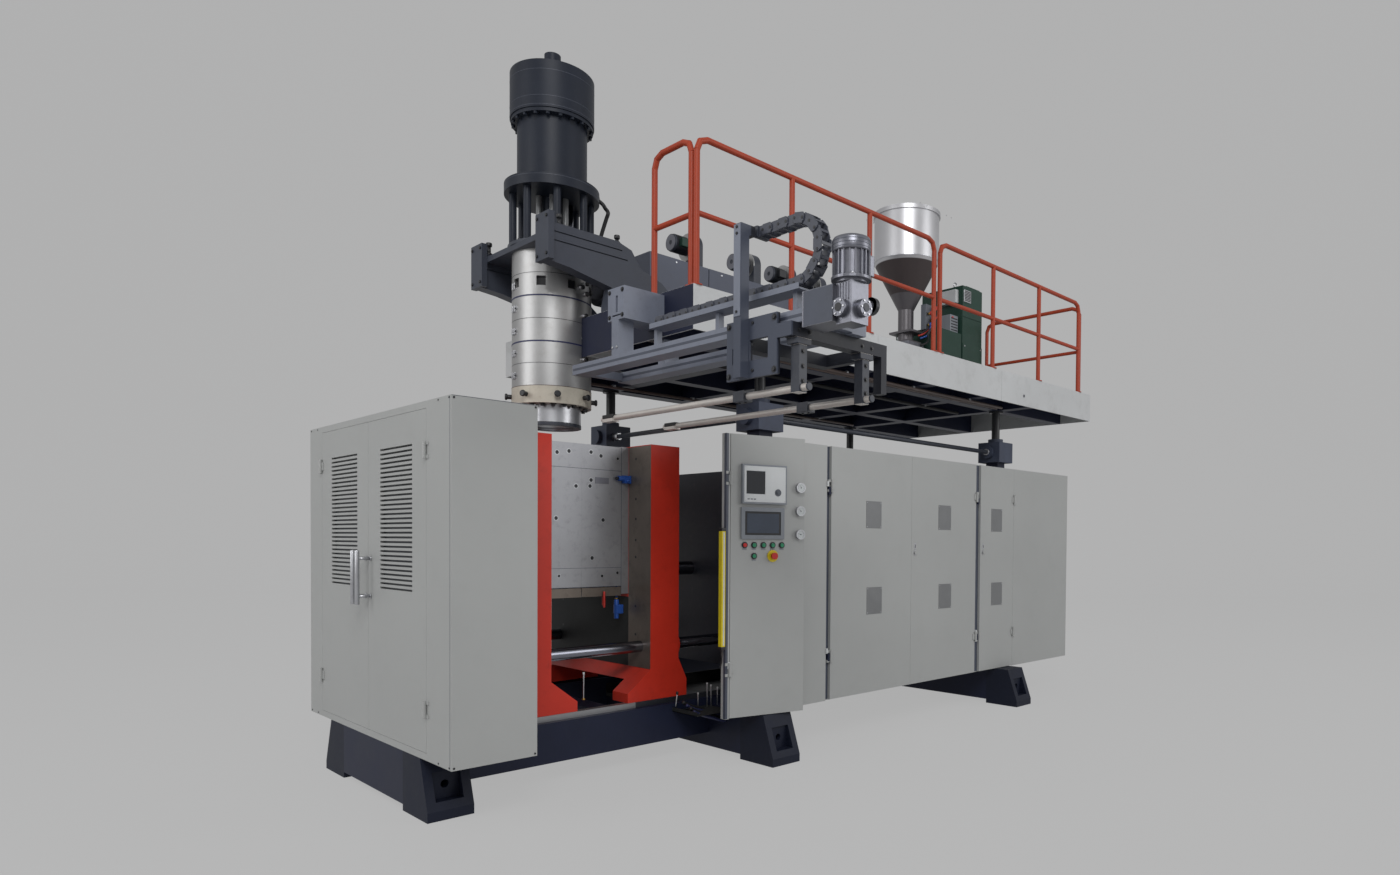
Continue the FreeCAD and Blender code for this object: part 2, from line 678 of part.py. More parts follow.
right_door_far = f"({right_door_x} + {right_door_width})"
outer, tools = cabinet("right", electrical_end, right_end, [(right_door_x, right_door_far)], False)
tools.append(column_hole("right", right_jack_x))
parts = [cut("right_walls", outer, tools)]
fixed_x = f"{right_door_far} + {panel_gap}"
parts.append(box("right_fixed", fixed_x, 0, foot_top, f"{right_end} - ({fixed_x})", frame_y,
                 cabinet_high))
leaf_parts = [box("right_leaf", right_door_x, 0, panel_low, right_door_width, sheet_wall,
                  panel_high)]
leaf_parts.append(rod("lock_far", f"{right_door_x} + 55", -12, lock_height, lock_radius, 12, "Y"))
holes = []
for level, share in HINGE_SHARES:
    z = f"({foot_top} + {share} * {cabinet_high})"
    axis = f"({right_door_far} + {panel_gap} / 2)"
    moving, fixed, drilled = hinge("right_" + level, axis, hinge_y, z, "Y", -1, 0)
    leaf_parts.extend(moving)
    parts.extend(fixed)
    holes.extend(drilled)
node("right_cabinet_door", fuse("right_door_fused", leaf_parts))
node("right_cabinet", cut("right_drilled", fuse("right_fused", parts), holes))

curtain_width = size("curtain_width", 35)
curtain_low = size("curtain_low", 905)
curtain_high = size("curtain_high", 875)
curtain = [box("curtain_strip", f"{control_x} - {curtain_width} - 5", 0, curtain_low,
               curtain_width, curtain_width, curtain_high)]
for end, share in (("low", "0.05"), ("high", "0.9")):
    curtain.append(box("curtain_clip_" + end, f"{control_x} - 5", 5,
                       f"{curtain_low} + {share} * {curtain_high}", 5, 20, 30))
node("light_curtain", fuse("curtain_fused", curtain))

# ---------------------------------------------------------------- jacks and hydraulic unit
boxes = []
for tag, x, y in JACKS:
    case = box("jack_case_" + tag, f"{x} - {jack_box} / 2", f"{y} - {jack_box} / 2",
               jack_column_top, jack_box, jack_box, jack_box_high)
    neck = rod("jack_neck_" + tag, x, y, f"{jack_column_top} + {jack_box_high}",
               f"{jack_box} * 0.3", 40)
    side = rod("jack_input_" + tag, f"{x} - {jack_box} / 2 - 40", y,
               f"{jack_column_top} + {jack_box_high} / 2", f"{jack_box} * 0.25",
               f"{jack_box} + 80", "X")
    bore = rod("jack_hole_" + tag, x, y, f"{jack_column_top} - 1", f"{jack_screw} + {fit}",
               f"{jack_box_high} + 60")
    boxes.append(cut("jack_gearbox_" + tag, fuse("jack_fused_" + tag, [case, neck, side]), [bore]))
node("jack_gearboxes", group("jack_gearboxes_all", boxes))

tank_x = size("tank_x", 3900)
tank_length = size("tank_length", 1300)
tank_high = size("tank_high", 600)
pump_radius = size("pump_radius", 150)
tank = box("tank", tank_x, f"{beam_front} + 60", beam_high, tank_length,
           f"{beam_rear} - {beam_front} + {beam_width} - 120", tank_high)
saddle = box("pump_saddle", f"{tank_x} + 250", f"{centre_y} - 150", f"{beam_high} + {tank_high}",
             700, 300, 90)
motor = rod("pump_motor", f"{tank_x} + 200", centre_y,
            f"{beam_high} + {tank_high} + 60 + {pump_radius}", pump_radius, 620, "X")
pump = rod("pump_end", f"{tank_x} + 820", centre_y,
           f"{beam_high} + {tank_high} + 60 + {pump_radius}", f"{pump_radius} * 0.5", 260, "X")
node("hydraulic_unit", fuse("hydraulic_fused", [tank, saddle, motor, pump]))

# ---------------------------------------------------------------- clamp
platen_y = f"({centre_y} - {platen_width} / 2)"
tie_front = f"({platen_y} + {tie_inset})"
tie_back = f"({platen_y} + {platen_width} - {tie_inset})"
TIES = [("low_front", tie_front, tie_low), ("low_rear", tie_back, tie_low),
        ("high_rear", tie_back, tie_high)]
left_back = f"({centre_x} - {daylight_half} - {platen_thick})"
right_face = f"({centre_x} + {daylight_half})"
right_back = f"({right_face} + {platen_thick})"
bolt_pitch = size("bolt_pitch", 330)
bolt_low = size("bolt_low", 1420)
bolt_radius = size("bolt_radius", 14)
for tag in ("left", "right"):
    body = doc.addObject("PartDesign::Body", "platen_body_" + tag)
    if tag == "left":
        face = f"{centre_x} - {daylight_half}"
        back = f"{centre_x} - {daylight_half} - {platen_thick}"
        inner = f"{face} + {flare_in}"
        outer = f"{back} - {flare_out}"
        boss_x = f"{back} - {boss_height}"
        bolt_x = f"{face} - 40"
        leg_x = outer
    else:
        face = f"{centre_x} + {daylight_half}"
        back = f"{centre_x} + {daylight_half} + {platen_thick}"
        inner = f"{face} - {flare_in}"
        outer = f"{back} + {flare_out}"
        boss_x = back
        bolt_x = face
        leg_x = inner
    points = [
        (face, platen_top),
        (back, platen_top),
        (back, f"{platen_low} + 150"),
        (outer, f"{platen_low} - 20"),
        (outer, rail_top),
        (inner, rail_top),
        (inner, f"{rail_top} + 70"),
        (face, f"{platen_low} + 80"),
    ]
    sketch = outline(body, "platen_outline_" + tag, "XZ_Plane", points, f"-({platen_y})")
    pad(body, sketch, platen_width, True)
    body_parts = [body]
    for name, y, z in TIES:
        body_parts.append(rod("boss_%s_%s" % (name, tag), boss_x, y, z, boss_radius,
                              boss_height, "X"))
    solid = fuse("platen_fused_" + tag, body_parts)
    tools = []
    reach = f"{platen_thick} + {flare_in} + {flare_out} + 2"
    tools.append(box("platen_window_" + tag, f"{leg_x} - 1", f"{platen_y} + {platen_foot}",
                     f"{rail_top} - 1", reach, f"{platen_width} - 2 * {platen_foot}",
                     f"{platen_low} - {rail_top} + 1"))
    for name, y, z in TIES:
        tools.append(rod("tie_hole_%s_%s" % (name, tag), f"{leg_x} - 60", y, z,
                         f"{tie_radius} + {tie_fit}", f"{reach} + 120", "X"))
    for i in range(3):
        for j, y in enumerate((f"{platen_y} + 95", f"{platen_y} + {platen_width} - 95")):
            tools.append(rod("bolt_%s_%d_%d" % (tag, i, j), bolt_x, y,
                             f"{bolt_low} + {i} * {bolt_pitch}", bolt_radius, 40, "X"))
    node(tag + "_platen", cut("platen_cut_" + tag, solid, tools))

drum_radius = size("drum_radius", 200)
drum_low = size("drum_low", 1480)
drum_high = size("drum_high", 620)
shoulder = size("shoulder", 150)
neck_radius = size("neck_radius", 60)
shim = f"({seat_gap} / 2)"
for tag in ("left", "right"):
    if tag == "left":
        block_x = f"{centre_x} - {mould_half}"
        block_length = f"{mould_half} - {shim}"
        back_x = f"{centre_x} - {daylight_half}"
        sole_x = f"{centre_x} - {mould_half}"
    else:
        block_x = f"{centre_x} + {shim}"
        block_length = f"{mould_half} - {shim}"
        back_x = f"{centre_x} + {mould_half}"
        sole_x = f"{centre_x} + {shim}"
    mould_y = f"{centre_y} - {mould_width} / 2"
    block = box("mould_block_" + tag, block_x, mould_y, mould_low, block_length, mould_width,
                f"{mould_top} - {mould_low}")
    plate = box("mould_plate_" + tag, back_x, mould_y, f"{mould_low} - 60",
                f"{daylight_half} - {mould_half}", mould_width, f"{mould_top} - {mould_low} + 65")
    sole = box("mould_sole_" + tag, f"{sole_x}", f"{mould_y} + 90", f"{mould_low} - 80",
               block_length, f"{mould_width} - 180", 80)
    drum = rod("mould_drum_" + tag, centre_x, centre_y, drum_low, drum_radius, drum_high)
    top = cone("mould_shoulder_" + tag, centre_x, centre_y, f"{drum_low} + {drum_high}",
               drum_radius, neck_radius, shoulder)
    throat = rod("mould_neck_" + tag, centre_x, centre_y,
                 f"{drum_low} + {drum_high} + {shoulder}", neck_radius,
                 f"{mould_top} - {drum_low} - {drum_high} - {shoulder} + 1")
    cavity = fuse("mould_cavity_" + tag, [drum, top, throat])
    solid = fuse("mould_fused_" + tag, [block, plate, sole])
    node(tag + "_mould", cut("mould_cut_" + tag, solid, [cavity]))

bars = []
tie_start = f"({left_back} - {boss_height} - {tie_nut})"
tie_end = f"({rear_plate_x} + {rear_plate_thick} + {tie_nut})"
for name, y, z in TIES:
    bar = rod("bar_" + name, tie_start, y, z, tie_radius, f"{tie_end} - {tie_start}", "X")
    near = rod("nut_near_" + name, tie_start, y, z, tie_nut_radius, tie_nut, "X")
    far = rod("nut_far_" + name, f"{tie_end} - {tie_nut}", y, z, tie_nut_radius, tie_nut, "X")
    bars.append(fuse("tie_bar_" + name, [bar, near, far]))
node("tie_bars", group("tie_bars_all", bars))

plate = box("rear_slab", rear_plate_x, platen_y, platen_low, rear_plate_thick, platen_width,
            f"{tie_high} + 200 - {platen_low}")
legs = []
for end, y in (("front", platen_y), ("rear", f"{platen_y} + {platen_width} - {platen_foot}")):
    legs.append(box("rear_leg_" + end, rear_plate_x, y, rail_top, rear_plate_thick, platen_foot,
                    f"{platen_low} - {rail_top}"))
tools = []
for name, y, z in TIES:
    tools.append(rod("rear_hole_" + name, f"{rear_plate_x} - 1", y, z,
                     f"{tie_radius} + {tie_fit}", f"{rear_plate_thick} + 2", "X"))
tools.append(rod("rear_hole_rod", f"{rear_plate_x} - 1", centre_y, press_height,
                 f"{rod_radius} + {fit}", f"{rear_plate_thick} + 2", "X"))
node("rear_plate", cut("rear_plate_cut", fuse("rear_plate_fused", [plate] + legs), tools))

press_x = f"({rear_plate_x} + {rear_plate_thick})"
barrel = rod("press_tube", press_x, centre_y, press_height, press_radius, press_length, "X")
collar = rod("press_collar", press_x, centre_y, press_height, f"{press_radius} + 50", 60, "X")
hole = rod("press_hole", f"{press_x} - 1", centre_y, press_height, press_bore,
           f"{press_length} - 29", "X")
node("clamp_cylinder", cut("press_cut", fuse("press_fused", [barrel, collar]), [hole]))
shaft = rod("ram_rod", right_back, centre_y, press_height, rod_radius,
            f"{press_x} + 90 - ({right_back})", "X")
foot = rod("ram_foot", right_back, centre_y, press_height, f"{rod_radius} + 50", 25, "X")
piston = rod("ram_piston", f"{press_x} + 30", centre_y, press_height,
             f"{press_bore} - {fit}", 60, "X")
node("piston_rod", fuse("ram_fused", [shaft, foot, piston]))

# ---------------------------------------------------------------- mould fittings
valve_side = size("valve_side", 60)
stub_radius = size("stub_radius", 9)
mould_front = f"({centre_y} - {mould_width} / 2)"
fittings = [
    box("valve_body", f"{centre_x} + {mould_half} + 3", f"{mould_front} - 40",
        f"{mould_top} - 280", valve_side, 40, valve_side),
    rod("water_stub", f"{centre_x} + 213", f"{mould_front} + 30", f"{mould_low} - 145", stub_radius,
        145),
    rod("air_stub", f"{centre_x} + {mould_half} - 22", f"{mould_front} + 30",
        f"{mould_low} - 250", stub_radius, 250),
]
node("mould_fittings", group("fittings_all", fittings))

# ---------------------------------------------------------------- platform
rib_wide = size("rib_wide", 120)
rib_high = f"({platform_high} - {deck_thick})"
inside_x = f"({platform_x} + {deck_thick})"
inside_y = f"({platform_y} + {deck_thick})"
inside_length = f"({platform_end} - {platform_x} - 2 * {deck_thick})"
inside_width = f"({platform_rear} - {platform_y} - 2 * {deck_thick})"
notch_end = size("notch_end", 1760)
notch_half = size("notch_half", 360)
middle_start = f"({notch_end} + {deck_thick})"
ribs = []
for tag, y, x in (("front", jack_front, inside_x), ("middle", centre_y, middle_start),
                  ("rear", jack_rear, inside_x)):
    ribs.append(box("rib_long_" + tag, x, f"{y} - {rib_wide} / 2", platform_low,
                    f"{inside_x} + {inside_length} - {x}", rib_wide, rib_high))
middle_rib = f"({middle_jack_x} + {right_jack_x}) / 2"
for tag, x in (("mf", middle_jack_x), ("rf", right_jack_x), ("centre", f"({middle_rib})"),
               ("a", f"(({middle_jack_x} + {middle_rib}) / 2)"),
               ("b", f"(({right_jack_x} + {middle_rib}) / 2)")):
    ribs.append(box("rib_cross_" + tag, f"{x} - {rib_wide} / 2", inside_y, platform_low,
                    rib_wide, inside_width, rib_high))
node("platform_frame", fuse("platform_ribs", ribs))
slab = box("deck_outer", platform_x, platform_y, platform_low,
           f"{platform_end} - {platform_x}", f"{platform_rear} - {platform_y}", platform_high)
room = box("deck_room", inside_x, inside_y, f"{platform_low} - 1", inside_length, inside_width,
           f"{rib_high} + 1")
wall = box("deck_wall", f"{platform_x} - 1", f"{centre_y} - {notch_half} - {deck_thick}",
           f"{platform_low} - 2", f"{middle_start} - {platform_x} + 1",
           f"2 * ({notch_half} + {deck_thick})", f"{platform_high} + 4")
notch = box("deck_notch", f"{platform_x} - 1", f"{centre_y} - {notch_half}",
            f"{platform_low} - 2", f"{notch_end} - {platform_x} + 1", f"2 * {notch_half}",
            f"{platform_high} + 4")
hollow = cut("deck_hollow", room, [wall])
node("platform_deck", cut("deck_cut", slab, [hollow, notch]))

screws = []
for tag, x, y in JACKS:
    screw = rod("screw_" + tag, x, y, jack_screw_low, jack_screw,
                f"{platform_low} - {jack_screw_low}")
    flange = rod("screw_flange_" + tag, x, y, f"{platform_low} - 20", jack_flange, 20)
    screws.append(fuse("jack_screw_" + tag, [screw, flange]))
node("jack_screws", group("jack_screws_all", screws))

# ---------------------------------------------------------------- handrails
tube = size("tube", 21)
hoop = size("hoop", 90)
rail_high = size("rail_high", 4390)
rail_mid = size("rail_mid", 3885)
rail_y = size("rail_y", -270)
rail_1_x = size("rail_1_x", 1520)
rail_1_end = size("rail_1_end", 4200)
rail_2_x = size("rail_2_x", 4290)
rail_2_end = size("rail_2_end", 6955)
end_rail_x = size("end_rail_x", 7085)
end_rail_y = size("end_rail_y", -215)
end_rail_far = size("end_rail_far", 1010)
left_rail_y = size("left_rail_y", -215)
left_rail_far = size("left_rail_far", 200)


def bend(name, x, y, z, along, rising):
    """A quarter bend of tube between a post and the top rail, cut from two mitred pieces."""
    pieces = []
    for i in range(2):
        turn = math.radians(45 * i)
        lean = math.radians(22.5 + 45 * i)
        side = -1 if rising else 1
        out = side * math.cos(turn)
        piece = doc.addObject("Part::Cylinder", "%s_%d" % (name, i))
        bind(piece, "Radius", tube)
        bind(piece, "Height", f"{hoop} * 0.765367 + {tube} * 0.4")
        flat = -side * math.sin(lean)
        direction = FreeCAD.Vector(flat, 0, math.cos(lean))
        start = FreeCAD.Vector(out, 0, math.sin(turn))
        if along == "Y":
            direction = FreeCAD.Vector(0, flat, math.cos(lean))
            start = FreeCAD.Vector(0, out, math.sin(turn))
        piece.Placement = FreeCAD.Placement(
            FreeCAD.Vector(), FreeCAD.Rotation(FreeCAD.Vector(0, 0, 1), direction))
        pieces.append(at(piece,
                         f"{x} + {hoop} * ({start.x:.6f}) - {tube} * ({0.2 * direction.x:.6f})",
                         f"{y} + {hoop} * ({start.y:.6f}) - {tube} * ({0.2 * direction.y:.6f})",
                         f"{z} + {hoop} * ({start.z:.6f}) - {tube} * ({0.2 * direction.z:.6f})"))
    return pieces


def guard(tag, along, start, end, across, posts):
    """One hand rail: two end posts with bends, a top rail, a mid rail and inner posts."""
    pieces = []

    def place(u):
        if along == "X":
            return u, across
        return across, u

    post_high = f"{rail_high} - {hoop} - {deck_top}"
    for end_tag, u in (("a", start), ("b", end)):
        x, y = place(u)
        pieces.append(rod("post_%s_%s" % (end_tag, tag), x, y, deck_top, tube, post_high))
        pieces.append(rod("shoe_%s_%s" % (end_tag, tag), x, y, deck_top, f"{tube} * 2", 8))
    for i in range(posts):
        u = f"{start} + ({end} - ({start})) * {i + 1} / {posts + 1}"
        x, y = place(u)
        pieces.append(rod("post_%d_%s" % (i, tag), x, y, deck_top, tube, f"{rail_high} - {deck_top}"))
        pieces.append(rod("shoe_%d_%s" % (i, tag), x, y, deck_top, f"{tube} * 2", 8))
    x, y = place(f"{start} + {hoop}")
    pieces.append(rod("top_" + tag, x, y, rail_high, tube,
                      f"{end} - ({start}) - 2 * {hoop}", along))
    pieces.extend(bend("bend_a_" + tag, x, y, f"{rail_high} - {hoop}", along, True))
    x, y = place(f"{end} - {hoop}")
    pieces.extend(bend("bend_b_" + tag, x, y, f"{rail_high} - {hoop}", along, False))
    x, y = place(start)
    pieces.append(rod("mid_" + tag, x, y, rail_mid, f"{tube} * 0.9", f"{end} - ({start})", along))
    return fuse("guard_" + tag, pieces)


guards = [
    guard("front_1", "X", rail_1_x, rail_1_end, rail_y, 2),
    guard("front_2", "X", rail_2_x, rail_2_end, rail_y, 2),
    guard("left", "Y", left_rail_y, left_rail_far, rail_1_x, 0),
    guard("right", "Y", end_rail_y, end_rail_far, end_rail_x, 0),
]
node("handrails", group("handrails_all", guards))

# ---------------------------------------------------------------- accumulator head
post_radius = size("post_radius", 28)
post_circle = size("post_circle", 292)
arm_offset = size("arm_offset", 513)
arm_wide = size("arm_wide", 108)
arm_tip = size("arm_tip", 1015)
arm_heel = size("arm_heel", 2350)
arm_plate = size("arm_plate", 45)
arm_plate_wide = size("arm_plate_wide", 184)
arm_nose = size("arm_nose", 90)
arm_layer = size("arm_layer", 63)
arm_groove = size("arm_groove", 9)
arm_lip = size("arm_lip", 80)
arm_deep = size("arm_deep", 363)
core_radius = size("core_radius", 270)
core_bore = size("core_bore", 150)
band_radius = size("band_radius", 298)
die_low = size("die_low", 2574)
die_high = size("die_high", 156)
die_radius = size("die_radius", 220)
die_bore = size("die_bore", 165)
ring_high = size("ring_high", 127)
stage_a = size("stage_a", 172)
stage_b = size("stage_b", 163)
stage_c = size("stage_c", 172)
stage_d = size("stage_d", 171)
stage_e = size("stage_e", 172)
gate_rise = size("gate_rise", 68)
cap_clear = size("cap_clear", 108)
cap_plate = size("cap_plate", 44)
post_base = size("post_base", 24)
ring_low = f"({die_low} + {die_high})"
core_low = f"({ring_low} + {ring_high})"
band_1 = f"({core_low} + {stage_a})"
band_2 = f"({band_1} + {stage_b})"
band_3 = f"({band_2} + {stage_c})"
band_4 = f"({band_3} + {stage_d})"
collar_low = f"({band_4} + {stage_e})"
melt_height = f"({collar_low} + {gate_rise})"
cap_low = f"({melt_height} + {cap_clear})"
arm_high = f"({cap_low} + {arm_lip})"
arm_low = f"({arm_high} - {arm_deep})"
arms = []
grooves = []
for tag, sign in (("front", "-"), ("rear", "+")):
    body = doc.addObject("PartDesign::Body", "arm_body_" + tag)
    points = [
        (arm_tip, f"{arm_low} + {arm_nose}"),
        (arm_tip, arm_high),
        (f"{arm_tip} + 590", arm_high),
        (f"{arm_tip} + 720", f"{arm_high} - 40"),
        (f"{arm_tip} + 800", f"{arm_high} - 160"),
        (f"{arm_heel} - 330", f"{arm_high} - 230"),
        (arm_heel, f"{deck_top} + 60"),
        (arm_heel, deck_top),
        (f"{platform_x} + 60", deck_top),
        (f"{platform_x} + 60", f"{deck_top} + 60"),
        (f"{arm_tip} + 545", arm_low),
        (f"{arm_tip} + 190", f"{arm_low} + {arm_nose} - 20"),
    ]
    y0 = f"({centre_y} {sign} {arm_offset} - {arm_wide} / 2)"
    sketch = outline(body, "arm_outline_" + tag, "XZ_Plane", points, f"-({y0})")
    pad(body, sketch, arm_wide, True)
    arms.append(body)
    arms.append(box("arm_end_" + tag, arm_tip, f"{centre_y} {sign} {arm_offset} - {arm_plate_wide} / 2",
                    f"{arm_low} + {arm_nose}", arm_plate, arm_plate_wide,
                    f"{arm_high} + {arm_layer} - {arm_low} - {arm_nose}"))
    for side, y in (("a", f"{y0} - 1"), ("b", f"{y0} + {arm_wide} - 12")):
        for i in (1, 2):
            grooves.append(box("arm_groove_%s_%s_%d" % (tag, side, i), f"{arm_tip} + {arm_plate}", y,
                               f"{arm_high} - {i} * {arm_layer} - {arm_groove} / 2",
                               f"540 + 50 * {i}", 13, arm_groove))
plate = box("cap_plate_body", f"{arm_tip} + {arm_plate}",
            f"{centre_y} - {arm_offset} + {arm_wide} / 2 - 14", cap_low,
            f"{centre_x} + {band_radius} - 20 - {arm_tip} - {arm_plate}",
            f"2 * {arm_offset} - {arm_wide} + 28", cap_plate)
base = rod("post_ring", centre_x, centre_y, f"{cap_low} + {cap_plate}",
           f"{post_circle} + {post_radius} + 10", post_base)
hole = rod("cap_hole", centre_x, centre_y, f"{cap_low} - 1", f"{core_bore} + 40", 120)
crown = f"({cap_low} + {cap_plate} + {post_base})"
node("head_support", cut("support_cut", fuse("support_fused", arms + [plate, base]),
                         grooves + [hole]))

core = rod("core_tube", centre_x, centre_y, core_low, core_radius, f"{cap_low} - {core_low}")
collar = rod("core_collar", centre_x, centre_y, collar_low, band_radius,
             f"{cap_low} - {collar_low}")
hole = rod("core_hole", centre_x, centre_y, f"{core_low} - 1", core_bore,
           f"{cap_low} - {core_low} + 2")
melt_radius = size("melt_radius", 60)
gate = rod("core_gate", f"{centre_x} + {core_bore} - 20", centre_y, melt_height, melt_radius,
           f"{band_radius}", "X")
node("head_barrel", cut("core_cut", fuse("core_fused", [core, collar]), [hole, gate]))

thin_joint = size("thin_joint", 4)
thick_joint = size("thick_joint", 12)
window_side = size("window_side", 70)
bands = []
stages = [
    ("a", f"({core_low} + {thin_joint})", f"({band_1} - {thin_joint} / 2)"),
    ("b", f"({band_1} + {thin_joint} / 2)", f"({band_2} - {thick_joint} / 2)"),
    ("c", f"({band_2} + {thick_joint} / 2)", f"({band_3} - {thin_joint} / 2)"),
    ("d", f"({band_3} + {thin_joint} / 2)", f"({band_4} - {thick_joint} / 2)"),
    ("e", f"({band_4} + {thick_joint} / 2)", f"({collar_low} - {thin_joint})"),
]
for tag, low, high in stages:
    skin = rod("band_skin_" + tag, centre_x, centre_y, low, band_radius, f"{high} - {low}")
    tools = [rod("band_hole_" + tag, centre_x, centre_y, f"{low} - 1", f"{core_radius} + {fit}",
                 f"{high} - {low} + 2")]
    if tag == "e":
        for i in range(4):
            pane = doc.addObject("Part::Box", "band_window_%d" % i)
            bind(pane, "Length", f"{band_radius} + 5")
            bind(pane, "Width", window_side)
            bind(pane, "Height", window_side)
            turn = 180 + 45 * i
            pane.Placement = FreeCAD.Placement(
                FreeCAD.Vector(), FreeCAD.Rotation(FreeCAD.Vector(0, 0, 1), turn))
            half_x = math.sin(math.radians(turn))
            half_y = math.cos(math.radians(turn))
            at(pane, f"{centre_x} + {window_side} / 2 * ({half_x:.6f})",
               f"{centre_y} - {window_side} / 2 * ({half_y:.6f})",
               f"({low} + {high} - {window_side}) / 2 + 20")
            tools.append(pane)
    bands.append(cut("band_" + tag, skin, tools))
node("heater_bands", group("bands_all", bands))

ring = rod("ring_body", centre_x, centre_y, ring_low, f"{band_radius} + 2",
           f"{core_low} - {ring_low}")
hole = rod("ring_hole", centre_x, centre_y, f"{ring_low} - 1", f"{die_bore} + 5",
           f"{core_low} - {ring_low} + 2")
pegs = [ring]
for i in range(8):
    angle = 22.5 + 45 * i
    peg = rod("ring_bolt_%d" % i, 0, 0, 0, 16, f"{band_radius} + 45", "X")
    peg.Placement = FreeCAD.Placement(
        FreeCAD.Vector(), FreeCAD.Rotation(FreeCAD.Vector(0, 0, 1), angle) * TURNS["X"])
    at(peg, centre_x, centre_y, f"({ring_low} + {core_low}) / 2")
    pegs.append(peg)
node("die_ring", cut("ring_cut", fuse("ring_fused", pegs), [hole]))
shell = rod("die_body", centre_x, centre_y, die_low, die_radius, f"{ring_low} - {die_low}")
hole = rod("die_hole", centre_x, centre_y, f"{die_low} - 1", die_bore,
           f"{ring_low} - {die_low} + 2")
node("die", cut("die_cut", shell, [hole]))

post_count = 8
post_length = size("post_length", 399)
flange_low = f"({crown} + {post_length})"
flange_high = size("flange_high", 80)
flange_radius = size("flange_radius", 357)
tube_radius = size("tube_radius", 262)
tube_length = size("tube_length", 580)
block_low = f"({flange_low} + {tube_length})"
block_high = size("block_high", 350)
block_radius = size("block_radius", 316)
cap_high = size("cap_high", 190)
cap_top = f"({block_low} + {block_high} + {cap_high})"
cap_radius = size("cap_radius", 62)
posts = []
for i in range(post_count):
    angle = math.radians(22.5 + 45 * i)
    x = f"{centre_x} + {post_circle} * ({math.cos(angle):.6f})"
    y = f"{centre_y} + {post_circle} * ({math.sin(angle):.6f})"
    posts.append(rod("head_post_%d" % i, x, y, crown, post_radius, f"{flange_low} - {crown}"))
node("head_posts", group("posts_all", posts))

ram_rod = size("ram_rod", 22)
ram_wall = size("ram_wall", 13)
sleeve_radius = size("sleeve_radius", 80)
sleeve_clear = size("sleeve_clear", 120)
tip_low = size("tip_low", 2590)
tip_high = size("tip_high", 140)
tip_radius = size("tip_radius", 148)
sleeve_low = f"({tip_low} + {tip_high} + {sleeve_clear})"
ram_circle = f"({sleeve_radius} + {ram_rod} + {ram_wall})"
ram_clear = size("ram_clear", 65)
ram_low = f"({melt_height} + {ram_clear})"
ram_high = size("ram_high", 95)
drive_rise = size("drive_rise", 410)
drive_low = f"({flange_low} + {drive_rise})"
drive_high = size("drive_high", 60)
drive_bore = size("drive_bore", 180)
core_pin = size("core_pin", 45)
pin_head = size("pin_head", 100)
pin_rise = size("pin_rise", 130)
pin_head_low = f"({block_low} + {pin_rise})"
pin_room = size("pin_room", 120)
head_parts = [
    rod("head_flange", centre_x, centre_y, flange_low, flange_radius, flange_high),
    rod("head_sleeve", centre_x, centre_y, sleeve_low, sleeve_radius,
        f"{flange_low} - {sleeve_low} + 1"),
    rod("head_tube", centre_x, centre_y, flange_low, tube_radius, f"{block_low} - {flange_low}"),
    rod("head_block", centre_x, centre_y, block_low, block_radius, block_high),
    rod("head_cap", centre_x, centre_y, f"{block_low} + {block_high}", cap_radius,
        f"{cap_top} - {block_low} - {block_high}"),
    rod("head_lip", centre_x, centre_y, f"{block_low} - 28", f"{block_radius} - 8", 28),
]
for i in range(20):
    angle = math.radians(18 * i)
    x = f"{centre_x} + ({block_radius} - 24) * ({math.cos(angle):.6f})"
    y = f"{centre_y} + ({block_radius} - 24) * ({math.sin(angle):.6f})"
    bolt = doc.addObject("Part::Prism", "head_bolt_%d" % i)
    bolt.Polygon = 6
    bind(bolt, "Circumradius", 15)
    bind(bolt, "Height", 20)
    head_parts.append(at(bolt, x, y, f"{block_low} - 46"))
head_tools = [
    rod("head_room", centre_x, centre_y, f"{flange_low} + {flange_high}", drive_bore,
        f"{block_low} - {flange_low} - {flange_high}"),
    rod("head_pin_hole", centre_x, centre_y, f"{sleeve_low} - 1", f"{core_pin} + {fit}",
        f"{pin_head_low} - {sleeve_low}"),
    rod("head_pin_room", centre_x, centre_y, f"{pin_head_low} - 40", f"{pin_head} + {fit}",
        f"{pin_room} + 40"),
]
ram_parts = [
    cut("ram_ring",
        rod("ram_ring_body", centre_x, centre_y, ram_low, f"{core_bore} - {fit}", ram_high),
        [rod("ram_ring_bore", centre_x, centre_y, f"{ram_low} - 1", f"{sleeve_radius} + {fit}",
             f"{ram_high} + 2")]),
    cut("ram_plate",
        rod("ram_plate_body", centre_x, centre_y, drive_low, f"{drive_bore} - {fit}", drive_high),
        [rod("ram_plate_bore", centre_x, centre_y, f"{drive_low} - 1",
             f"{sleeve_radius} + {fit}", f"{drive_high} + 2")]),
]
for i in range(6):
    angle = math.radians(60 * i)
    x = f"{centre_x} + {ram_circle} * ({math.cos(angle):.6f})"
    y = f"{centre_y} + {ram_circle} * ({math.sin(angle):.6f})"
    ram_parts.append(rod("ram_push_%d" % i, x, y, f"{ram_low} + {ram_high}", ram_rod,
                         f"{drive_low} - {ram_low} - {ram_high}"))
    head_tools.append(rod("head_push_hole_%d" % i, x, y, f"{flange_low} - 1",
                          f"{ram_rod} + {fit}", f"{flange_high} + 2"))
node("head_cylinder", cut("head_cut", fuse("head_fused", head_parts), head_tools))
node("ram", group("ram_pieces", ram_parts))
pin = rod("mandrel_pin", centre_x, centre_y, f"{tip_low} + {tip_high}", core_pin,
          f"{pin_head_low} - {tip_low} - {tip_high}")
tip = cone("mandrel_tip", centre_x, centre_y, tip_low, tip_radius, core_pin, tip_high)
